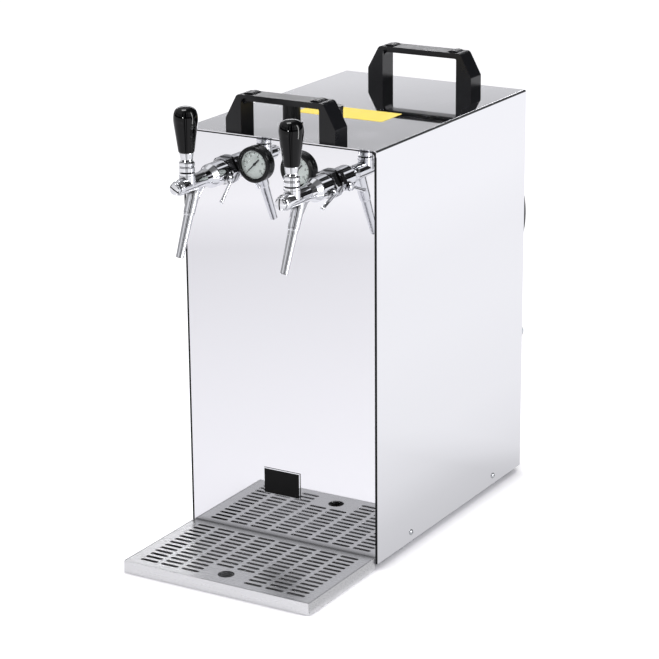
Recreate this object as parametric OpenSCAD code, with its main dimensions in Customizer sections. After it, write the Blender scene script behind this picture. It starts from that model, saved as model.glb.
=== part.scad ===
// Two-tap over-counter beer dispenser, dry cooled, in a polished steel cabinet.
// X runs across the front, Y from front to back, Z up. The origin lies on the counter, under
// the middle of the width and of the whole depth. Lengths are in millimetres.

/* [Cabinet] */
// Width of the cabinet
cab_w = 303; // [295:1:318]
// Depth of the cabinet
cab_d = 443; // [438:1:465]
// Height of the cabinet above its feet
cab_h = 581; // [574:1:605]
// Thickness of the sheet steel
sheet_t = 1.2; // [1:0.1:1.5]
// Bend radius of the cover's long top edges
bend_r = 3; // [2.5:0.5:5]
// Width of the dark seal beside the front panel
seal_w = 1.9; // [1.5:0.1:2.4]
// Depth of the seal from front to back
seal_d = 9; // [7:0.5:9.5]
// Corner radius of the front panel
panel_r = 6; // [4:0.5:8]
// Depth of the folded edges of the panels
flange_d = 10; // [9.5:0.5:12]
// Height of the base tray's walls
base_wall_h = 24; // [22:1:28]
// Height of a foot
foot_h = 8.5; // [8:0.5:12]
// Diameter of a foot
foot_d = 30; // [24:1:36]

/* [Carrying handles] */
// Length of a handle across the cabinet
handle_w = 171; // [160:1:185]
// Depth of a handle
handle_d = 32; // [28:1:36]
// Height of a handle
handle_h = 53; // [48:1:60]
// Clear width for the hand
handle_gap_w = 122; // [112:1:126]
// Height at which the slanted shoulder starts
handle_shoulder_h = 19; // [14:1:26]
// How far the shoulder leans in
handle_lean = 18.5; // [14:0.5:20]
// Distance from the front panel to the front handle
handle_front_y = 7; // [5:0.5:12]
// Distance from the rear handle to the back of the cabinet
handle_rear_gap = 15; // [12:0.5:24]

/* [Taps] */
// Distance between the two taps
tap_spacing = 162; // [156:1:176]
// Depth of the tap axis below the cabinet's top
tap_drop = 51; // [46:1:60]
// Radius of the compensator barrel
barrel_r = 16.5; // [16:0.25:18]
// Radius of the front body
body_r = 10.8; // [10.4:0.1:11.6]
// Distance from the panel to the tap's lever
lever_reach = 96; // [94:0.5:100]
// Distance from the panel to the tip of the nose cap
nose_reach = 128; // [127:0.5:133]
// Lean of the spout towards the front, in degrees
spout_lean = 24.5; // [20:0.5:27]
// Length of the spout measured from the tap axis
spout_l = 104; // [96:1:112]
// Height of the black tap handle
grip_h = 60; // [52:1:68]
// Greatest radius of the black tap handle
grip_r = 16.9; // [15:0.1:19]
// Radius of the tap handle's foot
grip_foot_r = 9.8; // [9.4:0.1:10.6]

/* [Gauges and regulators] */
// Diameter of a gauge over its bezel
gauge_d = 50; // [46:1:54]
// Distance between the gauges
gauge_spacing = 67.4; // [64:0.2:72]
// Depth of the gauge centres below the cabinet's top
gauge_drop = 37.7; // [35:0.1:42]
// How far the bezel stands in front of the panel
gauge_proud = 7; // [6:0.5:9]
// Diameter of a regulator knob
knob_d = 24.5; // [22:0.5:28]
// Height of a regulator knob
knob_h = 31; // [26:1:36]
// Distance from the front panel to the regulators
regulator_y = 93; // [88:1:98]

/* [Drip tray] */
// How far the drip tray stands in from each side of the cabinet
tray_inset = 3; // [1:0.5:6]
// Depth of the drip tray
tray_d = 176.7; // [172:0.1:190]
// Height of the drip tray
tray_h = 17.5; // [16:0.5:24]
// Length of a grille slot
slot_l = 28; // [24:1:29]
// Width of a grille slot
slot_w = 6; // [4.5:0.5:7]
// Distance between slots across the tray
slot_pitch_x = 33.5; // [32:0.5:34]
// Distance between slots from front to back
slot_pitch_y = 11.85; // [11:0.05:12]
// Diameter of the finger hole in the grille
finger_d = 23; // [20:0.5:24]

/* [Fan and back] */
// Distance from the fan guard to each side of the cabinet
guard_inset = 9.5; // [8:0.5:14]
// How far the guard stands behind the cabinet
guard_proud = 32; // [30:1:38]
// Depth of the fan's centre below the cabinet's top
fan_drop = 193; // [185:1:200]
// Distance from the fan's tips to the outside of its guard
fan_tip_in = 24; // [22:1:30]
// Number of fan blades
blade_count = 5; // [4:1:6]
// Distance from the fan guard down to the row of line fittings
fitting_drop = 41; // [36:1:48]
// Outside diameter of a beer line
line_d = 9.5; // [8:0.1:10]

/* [Hidden] */
$fn = 48;

// Finishes
polished_steel = "#d9dbe0";
plain_steel = "#b9bcc2";
chrome_plate = "#c6c9ce";
black_plastic = "#17181b";
black_rubber = "#232427";
dial_paper = "#e7ebe6";
clear_lens = "#dfe9ea";
raw_aluminium = "#aeb2b6";
copper_tube = "#b87349";
foam_board = "#8d8f92";
grey_acetal = "#c3c6c9";
enamel_black = "#1d1f22";
hose_clear = "#d8d2c0";

// Overrun of every cut, and the clearances of the fits
cut = 1;
fit = 0.1;
slide_gap = 0.3;
run_gap = 0.05;

// Frame: the tray's front edge and the guard's back are the two ends of the depth
tray_gap = 0.3;
front_y = -(cab_d + guard_proud - tray_d - tray_gap) / 2;

// Cover and panels
lip_t = 0.8;
cover_in_w = cab_w - 2 * sheet_t;
cover_in_h = cab_h - sheet_t;
top_seal = 1.5;
panel_w = cover_in_w - 2 * seal_w;
panel_h = cover_in_h - top_seal;
rear_flange_w = 12;
base_w = cover_in_w - 2 * slide_gap;
base_y0 = sheet_t + fit;
base_y1 = cab_d - sheet_t - fit;
lap_gap = 2;

// Screws of the sheet parts
screw_r = 2;
screw_hole_r = 2.15;
screw_head_r = 4.2;
screw_head_h = 2.2;
screw_l = 8;
side_screw_z = 13;
side_screw_front = 97;
side_screw_back = 92;
side_screw_ys = [side_screw_front, cab_d - side_screw_back];
rear_screw_low = 48;
rear_screw_mid = 53;
rear_screw_top = 21;
rear_screw_in = 6;
slot_cut_w = 1.2;

// Feet
foot_in_x = 26;
foot_in_y = 30;
foot_taper = 3;
foot_bore_r = 3;

// Handles
handle_leg_r = 5;
handle_top_r = 7;
handle_inner_r = 6;
grip_edge_t = 4.6;
grip_belly_t = 9.5;
grip_belly_in = 6;
handle_screw_r = 2.5;
handle_screw_gap = 16;
handle_screw_l = 14;
handle_head_r = 4.6;
handle_head_h = 2.6;
shoulder_cap_h = 2.4;
shoulder_cap_w = 15;

// Tap layout: distances are measured outwards from the panel, or up from the tap axis
tap_z = cab_h - tap_drop;
tap_x = tap_spacing / 2;
flange_r = 20.5;
flange_t = 1.6;
shank_r = 11;
shank_bore_r = 7.5;
shank_front = 12;
shank_tail = 46;
tail_r = 5.5;
tail_bore_r = 3.5;
nut_af = 35;
nut_t = 12;
nut_chamfer = 1.8;
nut_gap = 0.2;
barrel_z0 = 14;
barrel_z1 = 42;
neck_z = 52;
neck_r = 12.4;
front_z0 = 62;
front_z1 = 116;
nose_z = 122;
nose_r = 9.3;
nose_slot_turns = [150, 90];
nose_slot_w = 1.9;
nose_slot_depth = 2.6;
nose_step = 1;
nose_round = 2.5;
barrel_back_round = 1.5;
barrel_round = 6;
neck_round = 9;
body_round = 6;
body_front_round = 5;
nose_foot_round = 1;
tail_collar_r = 10.5;
boss_r = 11.2;
boss_h = 13;
bonnet_r = 10.7;
bonnet_h = 16.5;
pivot_h = 12;
ball_r = 8;
stem_r = 4;
bonnet_open_r = 6.5;
guide_r = 6;
guide_z0 = 82;
guide_z1 = 112.5;
plug_bore_r = 7.5;
beer_bore_r = 7;
seat_z0 = 58.3;
seat_z1 = 62;
seat_r = 4.6;
valve_bore_r = 9;
valve_z0 = 46;
cone_bore_r = 12.5;
cone_bore_z = 28;
cone_throat_r = 7.5;

// Spout
spout_root = 75.4;
socket_r0 = 8.8;
socket_r1 = 8;
socket_l = 43;
spigot_r = 6.2;
spigot_z = 30;
spout_bore_r = 4.4;
spout_ring_r = 7.4;
spout_ring_l = 3;
spout_top_r = 6.8;
spout_end_r = 5.4;
socket_inner_z = 8;
web_t = 8;
web_z = 47;
web_drop = 30;

// Lever, ferrule and handle
collar_z0 = 18.7;
collar_z1 = 31.3;
collar_r = 10.6;
collar_groove_z = 23.6;
collar_groove_w = 1.4;
collar_groove_r = 9.5;
collar_clear_r = 12;
lever_end_r = 3.2;
lever_pin_r = 2.2;
stem_top = 70;
ferrule_z1 = 44.3;
ferrule_foot_r = 8.8;
ferrule_neck_r = 8.2;
ferrule_foot_round = 1;
ferrule_neck_round = 4;
ferrule_top_round = 0.8;

// Plunger and its slot for the lever's end
plunger_front = 112;
plunger_head_l = 26;
plunger_rod_r = 3;
slot_play = 0.4;
slot_floor = 3.7;
slot_step = 1.5;
slot_top_half = 6.4;
slot_cheek_half = 3.8;
plunger_stroke = 5.2;
valve_disc_r = 8;
valve_disc_z0 = 54;
valve_disc_z1 = 58;

// Flow adjuster: lever on the barrel's right side, crank pin in the cone's groove
flow_z = 21;
flow_drop = 6.5;
flow_shaft_r = 2;
flow_crank = 3;
flow_crank_turn = 35;
flow_pin_r = 1.2;
flow_arm_x0 = 6;
flow_arm_t = 2;
flow_arm_w = 3.2;
flow_pin_l = 5;
flow_hub_r = 5.4;
flow_hub_t = 4.8;
flow_hub_step = 1;
flow_hub_back_round = 0.6;
flow_hub_round = 1.5;
flow_boss_r = 6.4;
flow_boss_out = 2;
flow_rod_r = 2.1;
flow_rod_end_r = 2.6;
flow_rod_l = 36;
flow_rod_tip_r = 3;
flow_rod_droop = 20;
flow_left_open = 25;
cone_groove_r = 1.9;
cone_collar_r = 5.4;
cone_collar_t = 1.4;
cone_groove_half = 1.7;
cone_r0 = 8.4;
cone_r1 = 5;
cone_z0 = 26;
cone_z1 = 41.5;
cone_stem_r = 2.4;
cone_fin_t = 1.6;
cone_tail = 8;
cone_fin_z = 4;

// Gauges
gauge_x = gauge_spacing / 2;
gauge_z = cab_h - gauge_drop;
bezel_w = 3.4;
bezel_round = 1;
case_round = 2;
gauge_can_share = 0.78;
gauge_can_l = 22;
gauge_stem_r = 6;
gauge_stem_l = 38;
dial_seat = 3;
dial_t = 0.6;
lens_t = 1.2;
needle_pin_r = 1;
needle_w = 1.5;
needle_t = 0.5;
needle_lift = 0.6;
needle_tip_share = 0.36;
needle_tail_share = 0.13;
needle_rest = 225;

// Regulators
regulator_r = 16;
regulator_l = 74;
regulator_neck_r = 9.5;
regulator_neck_h = 2.4;
regulator_port_r = 8;
regulator_top_drop = 1;
regulator_foot_round = 6;
regulator_top_round = 1;
nipple_wall = 1;
knob_flutes = 20;
flute_r = 1;
knob_rim_h = 4;
knob_rim_out = 0.5;
knob_foot_round = 0.4;
knob_top_round = 1.6;
knob_gap = 0.4;
knob_tab_l = 4.6;
knob_tab_w = 4;
knob_tab_t = 2.2;
knob_shaft_r = 4;
knob_shaft_l = 12;
knob_bore_r = 10.2;

// Drip tray and grille
tray_w = cab_w - 2 * tray_inset;
plain_rows = 3;
tray_t = 1.2;
tray_corner_r = 2;
grille_t = 1.5;
grille_side_gap = 0.7;
grille_side_margin = 8;
grille_back_margin = 17;
grille_front_margin = 14;

// Cooling block
box_side = 35.3;
box_w = cover_in_w - 2 * box_side;
box_wall = 18;
box_y = 24;
box_head = 157;
box_h = cab_h - box_head;
plate_t = 16;
plate_h = box_h - 3 * box_wall;
plate_count = 4;
coil_r = 4.5;
coil_gap = 0.3;
coil_leg_in = 7;
coil_leg_gap = 10;
coil_leg_x = box_w / 2 - box_wall - coil_leg_in;
coil_half_w = coil_leg_x - coil_leg_gap;
coil_pitch = 30;
coil_bend_share = 0.49;
coil_z0 = 45;
coil_runs = 2 * floor((plate_h - coil_z0) / coil_pitch / 2) + 1;
coil_tail_up = 40;
pack_step = plate_t + 2 * coil_r + 2 * coil_gap;
pack_d = (plate_count - 1) * pack_step + plate_t;
box_z = sheet_t + slide_gap;
box_back = box_y + pack_d + 2 * box_wall + 2 * coil_gap;
coil_top_z = box_z + box_h + coil_tail_up;

// Compressor, condenser and fan: the compressor stands midway between the box and the condenser
cond_side = 25.3;
cond_w = cover_in_w - 2 * cond_side;
cond_h = 264;
cond_d = 36;
cond_back = 61;
cond_y = cab_d - cond_back - cond_d;
comp_y = (box_back + cond_y) / 2;
comp_room = 12.3;
comp_plate_w = cond_y - box_back - 2 * comp_room;
comp_plate_t = 3;
comp_rim = 12;
comp_r = comp_plate_w / 2 - comp_rim;
comp_foot_h = 12;
comp_weld_out = 3;
comp_weld_h = 8;
comp_weld_round = 1;
grommet_r = 9;
grommet_in = 14;
fin_t = 1;
fin_count = 18;
cond_tube_r = 4.5;
cond_tubes = 6;
cond_end_x = cond_w / 2 + cond_tube_r;
guard_d = cab_w - 2 * guard_inset;
fan_d = guard_d - 2 * fan_tip_in;
fan_z = cab_h - fan_drop;
fan_hole_gap = 9;
fan_hole_r = fan_d / 2 + fan_hole_gap;
motor_r = 36;
motor_l = 26;
motor_back = 41;
motor_y = cab_d - motor_back;
motor_rib = 3;
shaft_r = 4;
shaft_room = 1;
hub_r = 29;
hub_l = 20;
hub_foot_round = 1;
hub_nose_round = 4;
hub_back = 7;
hub_y = cab_d - hub_back;
blade_t = 1.8;
blade_camber_r = 95;
blade_pitch = 24;
blade_share = 0.62;
arm_w = 14;
arm_t = 2.5;
guard_wall = 3;
guard_face_t = 3;
guard_edge_r = 8;
guard_rim_w = 6;
guard_spokes = 8;
guard_ring_w = 2.6;
guard_ring_pitch = 10.6;
guard_spoke_w = 5;
guard_hub_r = 34;

// Back fittings and controls
fitting_side = 18.3;
fitting_pitch = 40;
fitting_x = cover_in_w / 2 - fitting_side;
fitting_xs = [fitting_x, fitting_x - fitting_pitch, 0, fitting_pitch - fitting_x, -fitting_x];
fitting_z = fan_z - guard_d / 2 - fitting_drop;
fitting_out = 27;
fitting_in = 14;
fitting_r = 13.5;
fitting_nose_r = 11.5;
fitting_ring_l = 6;
fitting_ring_in = 2;
fitting_ring_cone = 1;
fitting_nose_round = 1.5;
fitting_ring_round = 1;
fitting_thread_r = 9;
fitting_nut_t = 6;
fitting_depth = 18;
hose_r = 4.7;
hose_wall = 1;
hose_bend = 22;
gas_hose_r = 3.7;
gas_gap = 40;
gas_y = cond_y - gas_gap;
nipple_l = 11;
manifold_r = 5;
manifold_drop = 22;
manifold_z = gauge_z - manifold_drop;
line_r = 3.2;
line_bend = 8.5;
line_wall_gap = 7.9;
line_side_x = cover_in_w / 2 - line_wall_gap;
comp_head = 26.7;
comp_top_z = fitting_z - comp_head;
comp_h = comp_top_z - sheet_t - comp_foot_h - fit;
line_rise = 57.7;
line_low_z = comp_top_z + line_rise;
line_head = 75;
line_top_z = cab_h - line_head;
capillary_r = 1.6;
drier_wall_gap = 12.3;
drier_x = cover_in_w / 2 - drier_wall_gap;
drier_gap = 42.6;
drier_y = box_back + drier_gap;
drier_l = 84;
drier_r = 9;
comp_port_x = 18;
cond_port_z = (cond_tubes - 1) / 2 * cond_h / cond_tubes;
suction_in = 18;
suction_x = coil_half_w - suction_in;
suction_gap = 32.6;
suction_y = box_back + suction_gap;
inlet_x = -70;
panel_row_z = 96;
inlet_w = 50;
inlet_hh = 28;
inlet_t = 3;
inlet_socket_w = 25;
inlet_socket_h = 17;
inlet_socket_d = 16;
inlet_wall = 2;
inlet_pin_w = 4;
inlet_pin_t = 2;
inlet_pin_l = 12;
inlet_pin_x = 7;
rocker_x = 0;
rocker_w = 15;
rocker_h = 22;
rocker_bezel_t = 2;
rocker_bezel_round = 1;
rocker_depth = 18;
rocker_t = 8;
rocker_tilt = 10;
rocker_pin_r = 1.5;
rocker_play = 0.6;
stat_x = 70;
stat_w = 36;
stat_h = 44;
stat_d = 30;
stat_shaft_r = 3;
stat_knob_r = 19;
stat_knob_h = 16;
stat_gap = 0.6;
stat_ridge_w = 5;

// Unit vector of v
function unit(v) = v / norm(v);

// Points of an arc that rounds the corner b between a and c with radius r, in 2D or 3D
function corner(a, b, c, r, n) =
    let (
        u = unit(a - b),
        w = unit(c - b),
        half = acos(u * w) / 2,
        mid = b + unit(u + w) * r / sin(half),
        from = b + u * r / tan(half) - mid,
        to = b + w * r / tan(half) - mid,
        turn = 180 - 2 * half
    )
    [for (i = [0:n]) mid + (from * sin(turn * (1 - i / n)) + to * sin(turn * i / n)) / sin(turn)];

// A closed outline with each corner rounded by its own radius, where 0 leaves it sharp
function rounded(pts, radii, n = 5) =
    let (m = len(pts))
    [for (i = [0:m - 1]) each
        radii[i] > 0 ? corner(pts[(i + m - 1) % m], pts[i], pts[(i + 1) % m], radii[i], n) : [pts[i]]];

// An open route with its inner corners rounded
function route(pts, r, n = 4) =
    [for (i = [0:len(pts) - 1]) each
        i == 0 || i == len(pts) - 1 ? [pts[i]] : corner(pts[i - 1], pts[i], pts[i + 1], r, n)];

// A solid tube along a route of points, with flat ends
module tube_along(path, r, sides = 8) {
    last = len(path) - 1;
    tangents = [for (i = [0:last]) unit(path[min(i + 1, last)] - path[max(i - 1, 0)])];
    start = abs(tangents[0].z) > sin(45) ? [1, 0, 0] : [0, 0, 1];
    normals = [
        for (i = 0, v = unit(start - (start * tangents[0]) * tangents[0]); i <= last;
             i = i + 1, v = i <= last ? unit(v - (v * tangents[i]) * tangents[i]) : v) v
    ];
    points = [
        for (i = [0:last]) for (k = [0:sides - 1])
            path[i] + r * (normals[i] * cos(360 * k / sides)
                           + cross(tangents[i], normals[i]) * sin(360 * k / sides))
    ];
    walls = [
        for (i = [0:last - 1]) for (k = [0:sides - 1])
            let (a = i * sides + k, b = i * sides + (k + 1) % sides)
            each [[a, a + sides, b], [b, a + sides, b + sides]]
    ];
    ends = [[for (k = [0:sides - 1]) k], [for (k = [sides - 1:-1:0]) last * sides + k]];
    polyhedron(points = points, faces = concat(walls, ends), convexity = 6);
}

// Frames of the assembly
module in_cabinet() translate([0, front_y, foot_h]) children();
module at_tap(side) in_cabinet() translate([side * tap_x, 0, tap_z]) children();
module outwards() rotate([90, 0, 0]) children();
module inwards() rotate([-90, 0, 0]) children();

// Flat door shape standing on its lower edge, with round top corners
module arch(w, h, r) {
    translate([-w / 2, 0]) square([w, h - r]);
    translate([-w / 2 + r, 0]) square([w - 2 * r, h]);
    for (s = [-1, 1]) translate([s * (w / 2 - r), h - r]) circle(r);
}

// Rectangle with round corners, about the origin
module rounded_rect(w, h, r) {
    square([w - 2 * r, h], center = true);
    square([w, h - 2 * r], center = true);
    for (sx = [-1, 1], sy = [-1, 1]) translate([sx * (w / 2 - r), sy * (h / 2 - r)]) circle(r);
}

// Upright sheet in the XZ plane from depth y to y + t
module standing(y, t) translate([0, y + t, 0]) rotate([90, 0, 0]) linear_extrude(t) children();

module hex_prism(af, h) cylinder(r = af / sqrt(3), h = h, $fn = 6);

// Hexagon nut along +Z with turned corners on both faces
module nut(af, h, bore_r) {
    corner_r = af / sqrt(3);
    difference() {
        intersection() {
            hex_prism(af, h);
            rotate_extrude()
                polygon([
                    [0, 0], [corner_r - nut_chamfer, 0], [corner_r, nut_chamfer * tan(30)],
                    [corner_r, h - nut_chamfer * tan(30)], [corner_r - nut_chamfer, h], [0, h]
                ]);
        }
        translate([0, 0, -cut]) cylinder(r = bore_r, h = h + 2 * cut);
    }
}

// Pan-head screw along +Z: the head lies above the origin, the thread below
module pan_screw(r, l, head_r, head_h) {
    translate([0, 0, -l]) cylinder(r = r, h = l);
    difference() {
        rotate_extrude()
            polygon([[0, 0], [head_r, 0], [head_r, head_h / 3], [head_r * 0.6, head_h], [0, head_h]]);
        translate([0, 0, head_h * 0.75]) cube([slot_cut_w, head_r, head_h], center = true);
    }
}

// Places of the sheet screws, with +Z pointing out of the sheet
module at_side_screws()
    in_cabinet() for (s = [-1, 1], y = side_screw_ys)
        translate([s * cab_w / 2, y, side_screw_z]) rotate([0, s * 90, 0]) children();
module at_rear_screws()
    in_cabinet() for (s = [-1, 1], z = [rear_screw_low, fitting_z - rear_screw_mid, cab_h - rear_screw_top])
        translate([s * (cover_in_w / 2 - rear_screw_in), cab_d, z]) inwards() children();

// Places of the handle screws, with +Z pointing up
module at_handle_screws()
    in_cabinet() for (y = [handle_front_y, cab_d - handle_rear_gap - handle_d], s = [-1, 1], k = [-1, 1])
        translate([
            s * (handle_w + handle_gap_w) / 4, y + handle_d / 2 + k * handle_screw_gap / 2, cab_h
        ]) children();

// Cabinet

module cover() color(polished_steel) difference() {
    in_cabinet() union() {
        standing(lip_t, cab_d - lip_t) difference() {
            arch(cab_w, cab_h, bend_r);
            translate([0, -cut]) arch(cover_in_w, cover_in_h + cut, bend_r - sheet_t);
        }
        translate([0, 0, base_wall_h + lap_gap]) standing(cab_d - 2 * sheet_t, sheet_t - fit)
            difference() {
                arch(cover_in_w + sheet_t, cover_in_h - base_wall_h - lap_gap + sheet_t / 2, bend_r);
                translate([0, -cut])
                    arch(cover_in_w - 2 * rear_flange_w,
                         cover_in_h - base_wall_h - lap_gap - rear_flange_w + cut, bend_r);
            }
    }
    at_side_screws() cylinder(r = screw_hole_r, h = screw_l, center = true);
    at_rear_screws() cylinder(r = screw_hole_r, h = screw_l, center = true);
    at_handle_screws() cylinder(r = handle_screw_r + fit, h = handle_screw_l, center = true);
    in_cabinet() for (s = [-1, 1]) translate([s * gauge_x, regulator_y, cab_h])
        cylinder(r = regulator_neck_r + fit, h = flange_d, center = true);
    // Notches in the rear flange for the nuts of the outer fittings
    in_cabinet() for (s = [-1, 1]) translate([s * fitting_x, cab_d, fitting_z]) inwards()
        cylinder(r = fitting_r + slide_gap, h = flange_d, center = true);
}

// Space that the base tray takes behind the front panel
module base_space() translate([-cab_w / 2, sheet_t, -cut])
    cube([cab_w, 2 * flange_d, base_wall_h + lap_gap + cut]);

module front_panel() color(polished_steel) in_cabinet() difference() {
    union() {
        standing(0, sheet_t) arch(panel_w, panel_h, panel_r);
        standing(0, flange_d) difference() {
            arch(panel_w, panel_h, panel_r);
            translate([0, -cut])
                arch(panel_w - 2 * sheet_t, panel_h - sheet_t + cut, panel_r - sheet_t);
        }
    }
    base_space();
    for (s = [-1, 1]) {
        translate([s * tap_x, 0, tap_z]) inwards()
            cylinder(r = shank_r + fit, h = flange_d, center = true);
        translate([s * gauge_x, 0, gauge_z]) inwards()
            cylinder(r = gauge_d / 2 * gauge_can_share + fit, h = flange_d, center = true);
    }
}

// Strip with a body beside the panel and a lip over the cover's front edge
module front_seal() color(black_rubber) in_cabinet() {
    difference() {
        standing(0, seal_d) difference() {
            arch(cover_in_w - 2 * fit, cover_in_h - fit, bend_r - sheet_t);
            translate([0, -cut]) arch(panel_w + 2 * fit, panel_h + fit + cut, panel_r + fit);
        }
        base_space();
    }
    for (s = [0, 1]) mirror([s, 0, 0]) translate([panel_w / 2 + fit, 0, 0])
        cube([(cab_w - panel_w) / 2 - 2 * fit, lip_t - fit, panel_h - panel_r]);
}

module base_tray() color(plain_steel) difference() {
    in_cabinet() difference() {
        translate([-base_w / 2, base_y0, 0]) cube([base_w, base_y1 - base_y0, base_wall_h]);
        translate([-base_w / 2 + sheet_t, base_y0 + sheet_t, sheet_t])
            cube([base_w - 2 * sheet_t, base_y1 - base_y0 - 2 * sheet_t, base_wall_h]);
    }
    at_side_screws() cylinder(r = screw_hole_r, h = screw_l, center = true);
    at_feet() cylinder(r = foot_bore_r, h = foot_h, center = true);
}

module at_feet() in_cabinet()
    for (s = [-1, 1], y = [foot_in_y, cab_d - foot_in_y])
        translate([s * (cab_w / 2 - foot_in_x), y, 0]) children();

module feet() color(black_rubber) at_feet() {
    translate([0, 0, -foot_h]) rotate_extrude()
        polygon([
            [0, 0], [foot_d / 2 - foot_taper, 0], [foot_d / 2, foot_taper], [foot_d / 2, foot_h], [0, foot_h]
        ]);
    cylinder(r = foot_bore_r - fit, h = sheet_t + foot_taper);
}

module rear_panel() color(plain_steel) difference() {
    in_cabinet() difference() {
        standing(cab_d - sheet_t, sheet_t) arch(cover_in_w - 2 * fit, cover_in_h - fit, bend_r - sheet_t);
        translate([0, cab_d, fan_z]) inwards() cylinder(r = fan_hole_r, h = flange_d, center = true);
        for (x = fitting_xs) translate([x, cab_d, fitting_z]) inwards()
            cylinder(r = fitting_thread_r + fit, h = flange_d, center = true);
        translate([inlet_x, cab_d, panel_row_z])
            cube([inlet_socket_w + 2 * inlet_wall + 2 * fit, flange_d,
                  inlet_socket_h + 2 * inlet_wall + 2 * fit], center = true);
        translate([rocker_x, cab_d, panel_row_z])
            cube([rocker_w + 2 * inlet_wall, flange_d, rocker_h + 2 * inlet_wall], center = true);
        translate([stat_x, cab_d, panel_row_z]) inwards()
            cylinder(r = stat_shaft_r + slide_gap, h = flange_d, center = true);
    }
    at_rear_screws() cylinder(r = screw_hole_r, h = screw_l, center = true);
}

module panel_screws() color(plain_steel) {
    at_side_screws() pan_screw(screw_r, screw_l, screw_head_r, screw_head_h);
    at_rear_screws() pan_screw(screw_r, screw_l, screw_head_r, screw_head_h);
}

// Bridge handle: a slanted-shoulder outline whose grip thins towards its front and back edges
module bridge_handle(y) color(black_plastic) difference() {
    in_cabinet() translate([0, y, cab_h]) {
        handle_slice(grip_belly_t, grip_belly_in, handle_d - 2 * grip_belly_in);
        handle_slice(grip_edge_t, 0, handle_d);
        for (s = [-1, 1]) translate([s * (handle_w / 2 - handle_lean - shoulder_cap_w), 0, 0])
            shoulder_cap();
    }
    at_handle_screws() cylinder(r = handle_screw_r + run_gap, h = 2 * handle_screw_l, center = true);
}
module handle_slice(grip_t, y, d) standing(y, d)
    polygon(rounded(
        [
            [-handle_w / 2, 0], [-handle_w / 2, handle_shoulder_h],
            [-handle_w / 2 + handle_lean, handle_h], [handle_w / 2 - handle_lean, handle_h],
            [handle_w / 2, handle_shoulder_h], [handle_w / 2, 0], [handle_gap_w / 2, 0],
            [handle_gap_w / 2, handle_h - grip_t], [-handle_gap_w / 2, handle_h - grip_t],
            [-handle_gap_w / 2, 0]
        ],
        [0, handle_leg_r, handle_top_r, handle_top_r, handle_leg_r, 0, 0, handle_inner_r, handle_inner_r, 0]
    ));

// Low round crown over the end of the grip
module shoulder_cap() translate([0, handle_d / 2, handle_h - shoulder_cap_w])
    rotate([90, 0, 0]) difference() {
        cylinder(r = shoulder_cap_w + shoulder_cap_h, h = handle_d - 2 * grip_belly_in, center = true);
        translate([0, -shoulder_cap_w, 0])
            cube([4 * shoulder_cap_w, 3 * shoulder_cap_w, 2 * handle_d], center = true);
    }

module handle_front() bridge_handle(handle_front_y);
module handle_rear() bridge_handle(cab_d - handle_rear_gap - handle_d);

module handle_screws() color(plain_steel) at_handle_screws()
    translate([0, 0, -sheet_t]) rotate([180, 0, 0])
        pan_screw(handle_screw_r, handle_screw_l, handle_head_r, handle_head_h);

// Taps

module tap_shanks() color(chrome_plate) for (s = [-1, 1]) at_tap(s) difference() {
    union() {
        outwards() cylinder(r = flange_r, h = flange_t);
        outwards() cylinder(r = shank_r, h = shank_front);
        inwards() cylinder(r = shank_r, h = shank_tail - 2 * shank_r);
        inwards() cylinder(r = tail_r, h = shank_tail);
    }
    translate([0, -shank_front - cut, 0]) inwards()
        cylinder(r = shank_bore_r, h = shank_front + shank_tail - 3 * shank_r + cut);
    inwards() cylinder(r = tail_bore_r, h = shank_tail + cut);
}

module shank_locknuts() color(chrome_plate) for (s = [-1, 1]) at_tap(s)
    translate([0, sheet_t, 0]) inwards() nut(nut_af, nut_t / 2, shank_r + run_gap);

module coupling_nuts() color(chrome_plate) for (s = [-1, 1]) at_tap(s)
    translate([0, -flange_t - nut_gap, 0]) outwards() nut(nut_af, nut_t, shank_r + fit);

module at_spout() translate([0, -spout_root, 0]) rotate([180 - spout_lean, 0, 0]) children();

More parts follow.
